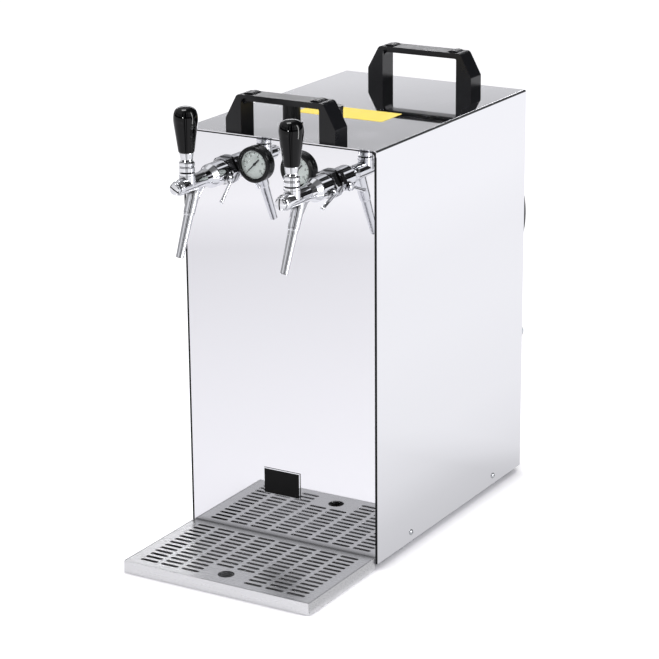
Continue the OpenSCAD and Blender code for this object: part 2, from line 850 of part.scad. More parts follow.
module tap_body(side) color(chrome_plate) at_tap(side) difference() {
    union() {
        outwards() rotate_extrude() polygon(rounded(
            [
                [0, shank_front + nut_gap], [tail_collar_r, shank_front + nut_gap],
                [tail_collar_r, barrel_z0], [barrel_r, barrel_z0], [barrel_r, barrel_z1],
                [neck_r, neck_z], [body_r, front_z0], [body_r, front_z1], [nose_r, nose_z], [0, nose_z]
            ],
            [
                0, 0, 0, barrel_back_round, barrel_round, neck_round, body_round, body_front_round,
                nose_foot_round, 0
            ], 4
        ));
        translate([0, -lever_reach, 0]) cylinder(r = boss_r, h = boss_h);
        translate([0, -lever_reach, 0]) cylinder(r = bonnet_r, h = bonnet_h);
        at_spout() cylinder(r1 = socket_r0, r2 = socket_r1, h = socket_l);
        spout_web();
        translate([0, -flow_z, -flow_drop]) rotate([0, 90, 0])
            cylinder(r = flow_boss_r, h = barrel_r + flow_boss_out);
    }
    // Bore for the flow cone, throat, valve chamber, seat, beer way, plunger guide and plug
    outwards() translate([0, 0, shank_front - cut]) cylinder(r = shank_bore_r, h = barrel_z0);
    outwards() translate([0, 0, barrel_z0 + sheet_t]) rotate_extrude() polygon([
        [0, 0], [cone_bore_r, 0], [cone_bore_r, cone_bore_z - barrel_z0],
        [cone_throat_r, valve_z0 - barrel_z0], [0, valve_z0 - barrel_z0]
    ]);
    outwards() translate([0, 0, valve_z0]) cylinder(r = valve_bore_r, h = seat_z0 - valve_z0);
    outwards() translate([0, 0, valve_z0]) cylinder(r = seat_r, h = guide_z1 - valve_z0);
    outwards() translate([0, 0, seat_z1]) cylinder(r = beer_bore_r, h = guide_z0 - seat_z1);
    outwards() translate([0, 0, guide_z0 - cut])
        cylinder(r = guide_r + run_gap, h = guide_z1 - guide_z0 + cut);
    outwards() translate([0, 0, guide_z1]) cylinder(r = plug_bore_r, h = nose_z - guide_z1 + cut);
    // Ball seat and the way down for the lever
    translate([0, -lever_reach, pivot_h]) sphere(r = ball_r + run_gap);
    translate([0, -lever_reach, pivot_h]) cylinder(r = bonnet_open_r, h = bonnet_h);
    translate([0, -lever_reach, 0]) cylinder(r = bonnet_open_r, h = pivot_h);
    // Spout socket
    at_spout() translate([0, 0, spigot_z - slide_gap]) cylinder(r = spigot_r + run_gap, h = socket_l);
    at_spout() translate([0, 0, socket_inner_z]) cylinder(r = spout_bore_r, h = spigot_z);
    // Cross bore for the flow lever's shaft
    translate([0, -flow_z, -flow_drop]) rotate([0, 90, 0])
        cylinder(r = flow_shaft_r + run_gap, h = barrel_r + flow_boss_out + cut);
}

// Rib that runs from the neck into the back of the spout socket
module spout_web() rotate([90, 0, 90]) linear_extrude(web_t, center = true) polygon(rounded(
    [
        [-web_z, 0], [-web_z, -neck_r + web_t / 4], [-front_z0, -body_r],
        [-spout_root - web_drop * tan(spout_lean) + socket_r1, -web_drop],
        [-spout_root - web_drop * tan(spout_lean), -web_drop], [-spout_root, 0]
    ],
    [0, 0, web_t, 0, 0, 0]
));

module tap_body_left() tap_body(-1);
module tap_body_right() tap_body(1);

module nose_caps() color(chrome_plate) for (s = [-1, 1]) at_tap(s) outwards() difference() {
    union() {
        translate([0, 0, guide_z1 + slide_gap])
            cylinder(r = plug_bore_r - run_gap, h = nose_z - guide_z1);
        translate([0, 0, nose_z + run_gap]) rotate_extrude() polygon(rounded(
            [
                [0, 0], [nose_r - nose_step, 0], [nose_r - nose_step, nose_reach - nose_z - nose_step],
                [0, nose_reach - nose_z]
            ],
            [0, 0, nose_round, 0]
        ));
    }
    rotate([0, 0, nose_slot_turns[s < 0 ? 0 : 1]]) translate([0, 0, nose_reach])
        cube([2 * nose_r, nose_slot_w, 2 * nose_slot_depth], center = true);
}

module spout(side) color(chrome_plate) at_tap(side) at_spout() rotate_extrude() polygon([
    [spout_bore_r, spigot_z], [spigot_r, spigot_z], [spigot_r, socket_l + fit],
    [spout_ring_r, socket_l + fit], [spout_ring_r, socket_l + spout_ring_l],
    [spout_top_r, socket_l + spout_ring_l + slot_cut_w], [spout_end_r, spout_l],
    [spout_bore_r, spout_l]
]);
module spout_left() spout(-1);
module spout_right() spout(1);

// Lever: ball in its seat, pin with a round end below, stem and ringed collar above
module tap_lever(side) color(chrome_plate) at_tap(side) translate([0, -lever_reach, 0]) union() {
    translate([0, 0, pivot_h]) sphere(r = ball_r);
    cylinder(r = lever_pin_r, h = pivot_h);
    sphere(r = lever_end_r);
    translate([0, 0, pivot_h]) cylinder(r = stem_r, h = stem_top - pivot_h);
    difference() {
        rotate_extrude() polygon([
            [0, collar_z0], [collar_r, collar_z0], [collar_r, collar_groove_z],
            [collar_groove_r, collar_groove_z + collar_groove_w / 3],
            [collar_groove_r, collar_groove_z + collar_groove_w],
            [collar_r, collar_groove_z + 2 * collar_groove_w], [collar_r, collar_z1 - collar_groove_w],
            [collar_groove_r, collar_z1], [0, collar_z1]
        ]);
        translate([0, 0, pivot_h]) sphere(r = collar_clear_r);
    }
}
module tap_lever_left() tap_lever(-1);
module tap_lever_right() tap_lever(1);

module lever_ferrule(side) color(chrome_plate) at_tap(side) translate([0, -lever_reach, 0])
    rotate_extrude() polygon(rounded(
        [
            [stem_r + run_gap, collar_z1 + run_gap], [ferrule_foot_r, collar_z1 + run_gap],
            [ferrule_neck_r, collar_z1 + stem_r], [grip_foot_r, ferrule_z1], [stem_r + run_gap, ferrule_z1]
        ],
        [0, ferrule_foot_round, ferrule_neck_round, ferrule_top_round, 0]
    ));
module lever_ferrule_left() lever_ferrule(-1);
module lever_ferrule_right() lever_ferrule(1);

// Black bulb handle with a flat-domed top
grip_outline = rounded(
    [
        [grip_foot_r, -stem_r], [grip_foot_r, 0], [grip_foot_r * 1.06, grip_h * 0.25],
        [grip_r, grip_h * 0.72], [grip_r * 0.93, grip_h * 0.95], [0, grip_h], [-grip_r, grip_h]
    ],
    [0, 0, grip_h * 0.6, grip_r * 0.9, grip_r * 0.5, 0, 0], 6
);
module tap_handle(side) color(black_plastic) at_tap(side)
    translate([0, -lever_reach, ferrule_z1 + run_gap]) rotate_extrude() polygon(concat(
        [[0, stem_top - ferrule_z1], [stem_r + run_gap, stem_top - ferrule_z1], [stem_r + run_gap, 0]],
        [for (p = grip_outline) if (p.x >= 0 && p.y >= 0) p]
    ));
module tap_handle_left() tap_handle(-1);
module tap_handle_right() tap_handle(1);

// Plunger: slotted head for the lever's end, rod and valve disc, with its front end forwards
module tap_plunger(side) color(chrome_plate) at_tap(side) difference() {
    union() {
        outwards() translate([0, 0, plunger_front - plunger_head_l])
            cylinder(r = guide_r, h = plunger_head_l);
        outwards() translate([0, 0, valve_disc_z0])
            cylinder(r = plunger_rod_r, h = plunger_front - plunger_head_l - valve_disc_z0 + cut);
        outwards() translate([0, 0, valve_disc_z0])
            cylinder(r = valve_disc_r, h = valve_disc_z1 - valve_disc_z0);
    }
    translate([-slot_cheek_half, -lever_reach - lever_end_r - slot_play, -slot_floor])
        cube([2 * slot_cheek_half, 2 * (lever_end_r + slot_play), 2 * guide_r]);
    translate([-slot_cheek_half, -lever_reach - slot_top_half - plunger_stroke, slot_step])
        cube([2 * slot_cheek_half, 2 * slot_top_half + plunger_stroke, guide_r]);
}
module tap_plunger_left() tap_plunger(-1);
module tap_plunger_right() tap_plunger(1);

// Flow lever: hub and rod outside, shaft through the barrel, crank pin under the cone
module flow_lever(side) color(chrome_plate) at_tap(side) translate([0, -flow_z, -flow_drop])
    rotate([flow_open(side), 0, 0]) {
    rotate([0, 90, 0]) translate([0, 0, flow_arm_x0])
        cylinder(r = flow_shaft_r, h = barrel_r + flow_boss_out - flow_arm_x0 + flow_hub_t);
    translate([barrel_r + flow_boss_out + slide_gap, 0, 0]) rotate([0, 90, 0])
        rotate_extrude() polygon(rounded(
            [[0, 0], [flow_hub_r, 0], [flow_hub_r, flow_hub_t - flow_hub_step], [0, flow_hub_t]],
            [0, flow_hub_back_round, flow_hub_round, 0]
        ));
    translate([barrel_r + flow_boss_out + slide_gap + flow_hub_t / 2, 0, 0])
        rotate([90 + flow_rod_droop, 0, 0]) {
            cylinder(r1 = flow_rod_r, r2 = flow_rod_end_r, h = flow_rod_l);
            translate([0, 0, flow_rod_l]) sphere(r = flow_rod_tip_r);
        }
    rotate([-flow_crank_turn, 0, 0]) translate([flow_arm_x0, 0, 0]) {
        translate([0, -flow_arm_w / 2, 0]) cube([flow_arm_t, flow_arm_w, flow_crank]);
        translate([flow_arm_t / 2 - flow_pin_l, 0, flow_crank]) rotate([0, 90, 0])
            cylinder(r = flow_pin_r, h = flow_pin_l);
    }
}
module flow_lever_left() flow_lever(-1);
module flow_lever_right() flow_lever(1);

// How far a tap's flow lever stands open, and how far that moves its cone forwards
function flow_open(side) = side < 0 ? flow_left_open : 0;
function cone_shift(side) =
    flow_crank * (sin(flow_crank_turn) - sin(flow_crank_turn - flow_open(side)));

// Cone on a finned stem, with two collars that hold the crank pin between them
cone_groove_z = flow_z - flow_crank * sin(flow_crank_turn);
module flow_cone(side) color(chrome_plate) at_tap(side) outwards() translate([0, 0, cone_shift(side)]) {
    rotate_extrude() polygon([
        [0, -cone_tail], [cone_stem_r, -cone_tail],
        [cone_stem_r, cone_groove_z - cone_groove_half - cone_collar_t],
        [cone_collar_r, cone_groove_z - cone_groove_half - cone_collar_t],
        [cone_collar_r, cone_groove_z - cone_groove_half], [cone_groove_r, cone_groove_z - cone_groove_half],
        [cone_groove_r, cone_groove_z + cone_groove_half], [cone_collar_r, cone_groove_z + cone_groove_half],
        [cone_collar_r, cone_groove_z + cone_groove_half + cone_collar_t],
        [cone_stem_r, cone_groove_z + cone_groove_half + cone_collar_t], [cone_stem_r, cone_z0],
        [cone_r0, cone_z0], [cone_r0, cone_z0 + cone_collar_t], [cone_r1, cone_z1], [0, cone_z1]
    ]);
    translate([0, 0, cone_stem_r - cone_tail]) linear_extrude(cone_tail + cone_fin_z - cone_stem_r)
        for (a = [0, 120, 240]) rotate(a) intersection() {
            circle(shank_bore_r - run_gap);
            translate([cone_stem_r / 2, -cone_fin_t / 2]) square([shank_r, cone_fin_t]);
        }
}
module flow_cone_left() flow_cone(-1);
module flow_cone_right() flow_cone(1);

// Gauges

module at_gauges(sides) in_cabinet() for (s = sides)
    translate([s * gauge_x, 0, gauge_z]) outwards() children();

module gauge_cases() color(black_plastic) at_gauges([-1, 1]) difference() {
    union() {
        rotate_extrude() polygon(rounded(
            [
                [0, 0], [gauge_d / 2, 0], [gauge_d / 2, gauge_proud], [gauge_d / 2 - bezel_w, gauge_proud],
                [gauge_d / 2 - bezel_w, gauge_proud - 2 * dial_t], [0, gauge_proud - 2 * dial_t]
            ],
            [0, bezel_round, case_round, bezel_round, 0, 0]
        ));
        translate([0, 0, -gauge_can_l]) cylinder(r = gauge_d / 2 * gauge_can_share, h = gauge_can_l);
        translate([0, 0, -gauge_stem_l]) cylinder(r = gauge_stem_r, h = gauge_stem_l);
    }
    translate([0, 0, dial_seat]) cylinder(r = gauge_d / 2 - bezel_w, h = gauge_proud);
    cylinder(r = needle_pin_r + run_gap, h = gauge_proud);
}

module gauge_dials() color(dial_paper) at_gauges([-1, 1]) translate([0, 0, dial_seat]) difference() {
    cylinder(r = gauge_d / 2 - bezel_w - fit, h = dial_t);
    translate([0, 0, -cut]) cylinder(r = needle_pin_r + run_gap, h = dial_t + 2 * cut);
}

module gauge_lenses() color(clear_lens) at_gauges([-1, 1])
    translate([0, 0, gauge_proud - lens_t - dial_t]) cylinder(r = gauge_d / 2 - bezel_w - fit, h = lens_t);

// Needle in its rest position, with its pin through the dial
module gauge_needle(side) color(black_plastic) at_gauges([side]) rotate([0, 0, needle_rest]) {
    translate([0, 0, fit]) cylinder(r = needle_pin_r, h = dial_seat + dial_t + needle_lift);
    translate([0, 0, dial_seat + dial_t + needle_lift / 2]) {
        cylinder(r = 2 * needle_pin_r, h = needle_t);
        linear_extrude(needle_t) polygon([
            [-gauge_d * needle_tail_share, -needle_w / 2], [-gauge_d * needle_tail_share, needle_w / 2],
            [gauge_d * needle_tip_share, needle_w / 8], [gauge_d * needle_tip_share, -needle_w / 8]
        ]);
    }
}
module gauge_needle_left() gauge_needle(-1);
module gauge_needle_right() gauge_needle(1);

// Regulators

module at_regulators(sides) in_cabinet() for (s = sides)
    translate([s * gauge_x, regulator_y, cab_h]) children();

// Two regulators joined by a cross pipe that takes the gas supply
module regulators() color(chrome_plate) difference() {
    union() {
        at_regulators([-1, 1]) {
            translate([0, 0, -sheet_t - regulator_l]) rotate_extrude() polygon(rounded(
                [
                    [0, 0], [regulator_r, 0], [regulator_r, regulator_l - regulator_top_drop],
                    [regulator_neck_r, regulator_l], [0, regulator_l]
                ],
                [0, regulator_foot_round, regulator_top_round, 0, 0]
            ));
            translate([0, 0, -sheet_t - cut])
                cylinder(r = regulator_neck_r, h = sheet_t + regulator_neck_h + cut);
            translate([0, 0, -gauge_drop]) outwards()
                cylinder(r = regulator_port_r, h = regulator_y - gauge_stem_l - slide_gap);
            translate([0, 0, -gauge_drop]) inwards()
                cylinder(r = gas_hose_r + nipple_wall, h = regulator_r + nipple_l);
        }
        in_cabinet() translate([0, regulator_y, manifold_z]) {
            rotate([0, 90, 0]) cylinder(r = manifold_r, h = gauge_spacing, center = true);
            inwards() cylinder(r = gas_hose_r + nipple_wall, h = manifold_r + nipple_l);
        }
    }
    at_regulators([-1, 1]) translate([0, 0, regulator_neck_h - knob_shaft_l])
        cylinder(r = knob_shaft_r + run_gap, h = knob_shaft_l + cut);
}

module regulator_knob(side) color(black_plastic) at_regulators([side])
    translate([0, 0, knob_gap]) difference() {
        union() {
            linear_extrude(knob_h - knob_rim_h) difference() {
                circle(knob_d / 2);
                for (i = [0:knob_flutes - 1]) rotate(i * 360 / knob_flutes)
                    translate([knob_d / 2 + flute_r / 3, 0]) circle(flute_r);
            }
            translate([0, 0, knob_h - knob_rim_h]) rotate_extrude() polygon(rounded(
                [
                    [0, 0], [knob_d / 2 + knob_rim_out, 0], [knob_d / 2 + knob_rim_out, knob_rim_h],
                    [0, knob_rim_h]
                ],
                [0, knob_foot_round, knob_top_round, 0]
            ));
            translate([0, -knob_tab_w / 2, 0])
                cube([knob_d / 2 + knob_tab_l, knob_tab_w, knob_tab_t]);
            translate([0, 0, regulator_neck_h - knob_shaft_l + slide_gap])
                cylinder(r = knob_shaft_r, h = knob_shaft_l);
        }
        difference() {
            translate([0, 0, -cut]) cylinder(r = knob_bore_r, h = regulator_neck_h + cut + slide_gap);
            translate([0, 0, -knob_shaft_l]) cylinder(r = knob_shaft_r, h = 2 * knob_shaft_l);
        }
    }
module regulator_knob_left() regulator_knob(-1);
module regulator_knob_right() regulator_knob(1);

// Drip tray

module at_tray() translate([0, front_y - tray_gap - tray_d / 2, 0]) children();

module drip_tray() color(polished_steel) at_tray() difference() {
    linear_extrude(tray_h) rounded_rect(tray_w, tray_d, tray_corner_r);
    translate([0, 0, tray_t]) linear_extrude(tray_h)
        rounded_rect(tray_w - 2 * tray_t, tray_d - 2 * tray_t, tray_corner_r - tray_t / 2);
}

// Slotted lid with turned-down edges that stand on the tray's floor
grille_w = tray_w - 2 * tray_t - 2 * grille_side_gap;
grille_d = tray_d - 2 * tray_t - 2 * grille_side_gap;
slot_cols = 2 * floor((grille_w - slot_l - 2 * grille_side_margin) / slot_pitch_x / 2 + 1 / 2);
slot_rows = 1 + floor((tray_d - grille_back_margin - grille_front_margin) / slot_pitch_y);
plain_cols = [slot_cols / 2 - 1, slot_cols / 2];
module drip_grille() color(polished_steel) at_tray() translate([0, 0, tray_t + fit]) difference() {
    linear_extrude(tray_h - tray_t - fit) square([grille_w, grille_d], center = true);
    translate([0, 0, -cut]) linear_extrude(tray_h - tray_t - fit - grille_t + cut)
        square([grille_w - 2 * tray_t, grille_d - 2 * tray_t], center = true);
    translate([0, 0, tray_h / 2]) linear_extrude(tray_h) {
        for (i = [0:slot_cols - 1], j = [0:slot_rows - 1])
            if (!(j >= slot_rows - plain_rows && len(search(i, plain_cols)) > 0))
                translate([
                    (i - (slot_cols - 1) / 2) * slot_pitch_x,
                    tray_d / 2 + tray_gap - grille_back_margin - j * slot_pitch_y
                ]) slot_shape();
        translate([0, tray_d / 2 + tray_gap - grille_back_margin - (slot_rows - plain_rows / 2 - 1 / 2)
                   * slot_pitch_y])
            circle(finger_d / 2);
    }
}
module slot_shape() {
    square([slot_l - slot_w, slot_w], center = true);
    for (s = [-1, 1]) translate([s * (slot_l - slot_w) / 2, 0]) circle(slot_w / 2, $fn = 24);
}

// Cooling block: aluminium plates with the coils clamped between them, in an open foam box
module insulation_box() color(foam_board) in_cabinet() difference() {
    translate([-box_w / 2, box_y, box_z]) cube([box_w, pack_d + 2 * box_wall + 2 * coil_gap, box_h]);
    translate([-box_w / 2 + box_wall, box_y + box_wall, box_z + box_wall])
        cube([box_w - 2 * box_wall, pack_d + 2 * coil_gap, box_h]);
}

module cooling_plates() color(raw_aluminium) in_cabinet() for (i = [0:plate_count - 1])
    translate([
        -box_w / 2 + box_wall + coil_gap, box_y + box_wall + coil_gap + i * pack_step, box_z + box_wall
    ]) cube([box_w - 2 * box_wall - 2 * coil_gap, plate_t, plate_h]);

// Serpentine in the gap k: a leg down one side, runs that climb again, and a tail out of the top
function coil_y(k) = box_y + box_wall + coil_gap + k * pack_step + plate_t + coil_gap + coil_r;
function serpentine(k, s) = route(concat(
    [[-s * coil_leg_x, coil_y(k), coil_top_z], [-s * coil_leg_x, coil_y(k), coil_z0]],
    [for (i = [0:coil_runs - 1]) each
        [
            if (i > 0) [s * (i % 2 == 0 ? -1 : 1) * coil_half_w, coil_y(k), coil_z0 + i * coil_pitch],
            [s * (i % 2 == 0 ? 1 : -1) * coil_half_w, coil_y(k), coil_z0 + i * coil_pitch]
        ]],
    [[s * coil_half_w, coil_y(k), coil_top_z]]
), coil_pitch * coil_bend_share, 3);

module beer_coils() color(plain_steel) in_cabinet() {
    tube_along(serpentine(0, 1), coil_r, 6);
    tube_along(serpentine(2, -1), coil_r, 6);
}

module evaporator_coil() color(copper_tube) in_cabinet() tube_along(serpentine(1, -1), coil_r, 6);

// Compressor on a plate with four grommets
module compressor() color(enamel_black) in_cabinet() translate([0, comp_y, sheet_t]) difference() {
    union() {
        translate([0, 0, comp_foot_h]) rotate_extrude() polygon(rounded(
            [
                [0, 0], [comp_r, 0], [comp_r, comp_h * 0.5], [comp_r + comp_weld_out, comp_h * 0.5],
                [comp_r + comp_weld_out, comp_h * 0.5 + comp_weld_h], [comp_r, comp_h * 0.5 + comp_weld_h],
                [comp_r, comp_h], [0, comp_h]
            ],
            [0, comp_r * 0.4, 0, comp_weld_round, comp_weld_round, 0, comp_r * 0.6, 0], 6
        ));
        translate([0, 0, comp_foot_h - comp_plate_t]) linear_extrude(2 * comp_plate_t)
            rounded_rect(comp_plate_w, comp_plate_w, grommet_in);
    }
    at_grommets() cylinder(r = grommet_r / 2 + fit, h = 3 * comp_foot_h, center = true);
}
module at_grommets() for (sx = [-1, 1], sy = [-1, 1])
    translate([sx * (comp_plate_w / 2 - grommet_in), sy * (comp_plate_w / 2 - grommet_in), 0]) children();

module compressor_grommets() color(black_rubber) in_cabinet() translate([0, comp_y, sheet_t])
    at_grommets() {
        cylinder(r = grommet_r, h = comp_foot_h - comp_plate_t - fit);
        cylinder(r = grommet_r / 2, h = comp_foot_h + 2 * comp_plate_t);
        translate([0, 0, comp_foot_h + comp_plate_t + fit]) cylinder(r = grommet_r, h = comp_plate_t);
    }

// Condenser: upright fins on cross tubes, between two end plates that stand on the base
module condenser() color(raw_aluminium) in_cabinet() {
    translate([0, cond_y, fan_z]) {
        for (i = [0:fin_count - 1])
            translate([-cond_w / 2 + i * (cond_w - fin_t) / (fin_count - 1), 0, -cond_h / 2])
                cube([fin_t, cond_d, cond_h]);
        for (j = [0:cond_tubes - 1])
            translate([-cond_end_x, cond_d / 2, (j - (cond_tubes - 1) / 2) * cond_h / cond_tubes])
                rotate([0, 90, 0]) cylinder(r = cond_tube_r, h = 2 * cond_end_x);
    }
    for (s = [0, 1]) mirror([s, 0, 0]) translate([cond_w / 2 - fin_t, cond_y, sheet_t + fit])
        cube([fin_t + sheet_t, cond_d, fan_z + cond_h / 2 - sheet_t - fit]);
}

// Fan

module fan_motor() color(enamel_black) in_cabinet() translate([0, motor_y, fan_z]) inwards() {
    rotate_extrude() polygon(rounded(
        [[0, 0], [motor_r, 0], [motor_r, motor_l], [0, motor_l]], [0, motor_rib, motor_rib, 0]
    ));
    for (i = [1:3]) translate([0, 0, i * motor_l / 4])
        cylinder(r = motor_r + motor_rib / 2, h = motor_rib / 2, center = true);
    cylinder(r = shaft_r, h = hub_y - motor_y + hub_l - motor_rib);
}

// Four strips that carry the motor, with feet that reach the rear panel
module fan_bracket() color(plain_steel) in_cabinet()
    translate([0, motor_y + motor_l + fit, fan_z]) inwards() {
        linear_extrude(arm_t) difference() {
            union() {
                circle(motor_r - motor_rib);
                for (a = [45, 135]) rotate(a)
                    square([2 * (fan_hole_r + arm_w) - arm_t, arm_w], center = true);
            }
            circle(shaft_r + shaft_room);
        }
        for (a = [45:90:315]) rotate([0, 0, a])
            translate([fan_hole_r + arm_w - arm_t, arm_t / 4 - arm_w / 2, 0])
                cube([arm_t, arm_w - arm_t / 2, cab_d - sheet_t - motor_y - motor_l - 2 * fit]);
    }

module fan_rotor() color(black_plastic) in_cabinet() translate([0, hub_y, fan_z]) inwards()
    difference() {
    union() {
        rotate_extrude() polygon(rounded(
            [[0, 0], [hub_r, 0], [hub_r, hub_l], [0, hub_l]], [0, hub_foot_round, hub_nose_round, 0]
        ));
        for (i = [0:blade_count - 1]) rotate([0, 0, i * 360 / blade_count]) fan_blade();
    }
    translate([0, 0, -cut]) cylinder(r = shaft_r + run_gap, h = hub_l - motor_rib + cut);
}

// Cambered sheet blade: a strip of a thin tube, pitched and trimmed to the fan's circle
module fan_blade() intersection() {
    translate([hub_r - cut, 0, hub_l / 2]) rotate([blade_pitch, 0, 0]) translate([0, 0, -blade_camber_r])
        rotate([0, 90, 0]) difference() {
            cylinder(r = blade_camber_r + blade_t, h = fan_d);
            translate([0, 0, -cut]) cylinder(r = blade_camber_r, h = fan_d + 2 * cut);
            translate([0, 0, -cut]) translate([0, -2 * blade_camber_r, -cut])
                cube([4 * blade_camber_r, 4 * blade_camber_r, fan_d + 4 * cut]);
        }
    linear_extrude(hub_l) polygon(rounded(
        [
            [hub_r - cut, -hub_r * blade_share], [fan_d / 2 * 0.98, -fan_d / 2 * blade_share * 0.75],
            [fan_d / 2 * 0.98, fan_d / 2 * blade_share * 0.5], [hub_r - cut, hub_r * blade_share]
        ],
        [0, fan_d / 8, fan_d / 10, 0]
    ));
    cylinder(r = fan_d / 2, h = hub_l);
}

// Moulded guard: a dished ring with round slots and eight spokes
module fan_guard() color(black_plastic) in_cabinet() translate([0, cab_d, fan_z]) inwards() {
    rotate_extrude() polygon(rounded(
        [
            [guard_d / 2 - guard_wall, 0], [guard_d / 2, 0], [guard_d / 2, guard_proud],
            [guard_d / 2 - guard_edge_r - guard_rim_w, guard_proud],
            [guard_d / 2 - guard_edge_r - guard_rim_w, guard_proud - guard_face_t],
            [guard_d / 2 - guard_wall, guard_proud - guard_face_t]
        ],
        [0, 0, guard_edge_r, 0, 0, guard_edge_r - guard_wall]
    ));
    translate([0, 0, guard_proud - guard_face_t]) linear_extrude(guard_face_t) {
        circle(guard_hub_r);
        for (r = [guard_hub_r + guard_ring_pitch:guard_ring_pitch:guard_d / 2 - guard_edge_r - guard_rim_w])
            difference() {
                circle(r + guard_ring_w / 2);
                circle(r - guard_ring_w / 2);
            }
        for (i = [0:guard_spokes / 2 - 1]) rotate(i * 360 / guard_spokes)
            square([guard_d - 2 * guard_edge_r - guard_rim_w, guard_spoke_w], center = true);
    }
}

// Lines

module line_fittings() color(grey_acetal) in_cabinet() for (x = fitting_xs)
    translate([x, cab_d, fitting_z]) inwards() difference() {
        union() {
            translate([0, 0, fit]) nut(2 * fitting_r * cos(30), fitting_nut_t, line_d / 2);
            rotate_extrude() polygon(rounded(
                [
                    [0, fitting_nut_t], [fitting_nose_r, fitting_nut_t],
                    [fitting_nose_r, fitting_out - fitting_ring_l],
                    [fitting_nose_r - fitting_ring_in, fitting_out - fitting_ring_l + fitting_ring_cone],
                    [fitting_nose_r - fitting_ring_in, fitting_out], [0, fitting_out]
                ],
                [0, 0, fitting_nose_round, 0, fitting_ring_round, 0]
            ));
            translate([0, 0, -fitting_in]) cylinder(r = fitting_thread_r, h = fitting_in + fitting_nut_t);
            translate([0, 0, -sheet_t - fitting_nut_t - fit])
                nut(2 * fitting_r * cos(30), fitting_nut_t, line_d / 2);
        }
        translate([0, 0, fitting_out - fitting_depth])
            cylinder(r = line_d / 2 + run_gap, h = fitting_depth + cut);
        translate([0, 0, -fitting_in - cut]) cylinder(r = hose_r - hose_wall, h = fitting_out + fitting_in);
    }

// Hoses inside: from the outer fittings to the coils' legs, and from their tails to the taps
hose_y = cab_d - fitting_in - slide_gap;
module beer_hoses() color(hose_clear) in_cabinet() for (s = [-1, 1]) {
    tube_along(route([
        [s * fitting_xs[0], hose_y, fitting_z], [s * fitting_xs[0], coil_y(s + 1), fitting_z],
        [s * fitting_xs[0], coil_y(s + 1), coil_top_z + hose_bend],
        [s * coil_leg_x, coil_y(s + 1), coil_top_z + hose_bend],
        [s * coil_leg_x, coil_y(s + 1), coil_top_z + fit]
    ], hose_bend - slide_gap), hose_r);
    tube_along(route([
        [s * coil_half_w, coil_y(1 - s), coil_top_z + fit], [s * tap_x, coil_y(1 - s), tap_z],
        [s * tap_x, shank_tail + fit, tap_z]
    ], hose_bend / 2), hose_r);
}

// Gas: one supply to the cross pipe, and one hose from each regulator back to its fitting
module gas_hoses() color(black_rubber) in_cabinet() {
    for (s = [-1, 1]) tube_along(route([
        [s * gauge_x, regulator_y + regulator_r + nipple_l + fit, gauge_z],
        [s * gauge_x, gas_y, gauge_z], [s * fitting_xs[1], gas_y, gauge_z - 2 * hose_bend],
        [s * fitting_xs[1], gas_y, fitting_z], [s * fitting_xs[1], hose_y, fitting_z]
    ], hose_bend), gas_hose_r);
    tube_along(route([
        [0, regulator_y + manifold_r + nipple_l + fit, manifold_z],
        [0, gas_y - hose_bend, manifold_z], [0, gas_y - hose_bend, fitting_z], [0, hose_y, fitting_z]
    ], hose_bend), gas_hose_r);
}

// Discharge, liquid line with its drier, capillary and suction line
module refrigerant_lines() color(copper_tube) in_cabinet() {
    tube_along(route([
        [-comp_port_x, comp_y, comp_top_z], [-comp_port_x, comp_y, line_low_z],
        [-line_side_x, comp_y, line_low_z], [-line_side_x, cond_y + cond_d / 2, line_low_z],
        [-line_side_x, cond_y + cond_d / 2, fan_z + cond_port_z],
        [-cond_end_x - fit, cond_y + cond_d / 2, fan_z + cond_port_z]
    ], line_bend), line_r, 6);
    tube_along(route([
        [cond_end_x + fit, cond_y + cond_d / 2, fan_z - cond_port_z],
        [drier_x, cond_y + cond_d / 2, fan_z - cond_port_z], [drier_x, drier_y + drier_l, fan_z - cond_port_z]
    ], drier_x - cond_end_x - slide_gap), line_r, 6);
    translate([drier_x, drier_y, fan_z - cond_port_z]) inwards() rotate_extrude() polygon([
        [0, -line_r], [line_r, -line_r], [drier_r, line_r], [drier_r, drier_l - line_r],
        [line_r, drier_l + line_r], [0, drier_l + line_r]
    ]);
    tube_along(route([
        [drier_x, drier_y, fan_z - cond_port_z], [line_side_x, drier_y - hose_bend, fan_z - cond_port_z],
        [line_side_x, drier_y - hose_bend, line_top_z], [line_side_x, coil_y(1), line_top_z],
        [coil_leg_x, coil_y(1), line_top_z], [coil_leg_x, coil_y(1), coil_top_z + fit]
    ], line_bend), capillary_r, 6);
    tube_along(route([
        [-coil_half_w, coil_y(1), coil_top_z + fit], [-coil_half_w, coil_y(1), coil_top_z + hose_bend],
        [-suction_x, coil_y(1), coil_top_z + hose_bend], [-suction_x, suction_y, coil_top_z + hose_bend],
        [-suction_x, suction_y, line_low_z], [comp_port_x, comp_y, line_low_z],
        [comp_port_x, comp_y, comp_top_z]
    ], line_bend), line_r, 6);
}

// Controls on the back

module mains_inlet() color(black_plastic) in_cabinet() translate([inlet_x, cab_d, panel_row_z]) inwards() {
    difference() {
        union() {
            linear_extrude(inlet_t) rounded_rect(inlet_w, inlet_hh, inlet_wall);
            translate([0, 0, -inlet_socket_d]) linear_extrude(inlet_socket_d + inlet_t / 2)
                rounded_rect(inlet_socket_w + 2 * inlet_wall, inlet_socket_h + 2 * inlet_wall, inlet_wall);
        }
        translate([0, 0, inlet_wall - inlet_socket_d]) linear_extrude(inlet_socket_d + inlet_t)
            rounded_rect(inlet_socket_w, inlet_socket_h, inlet_wall);
    }
    for (i = [-1:1]) translate([i * inlet_pin_x, (i == 0 ? -1 : 1) * inlet_pin_w / 2, 0])
        translate([-inlet_pin_t / 2, -inlet_pin_w / 2, -inlet_socket_d])
            cube([inlet_pin_t, inlet_pin_w, inlet_pin_l]);
}

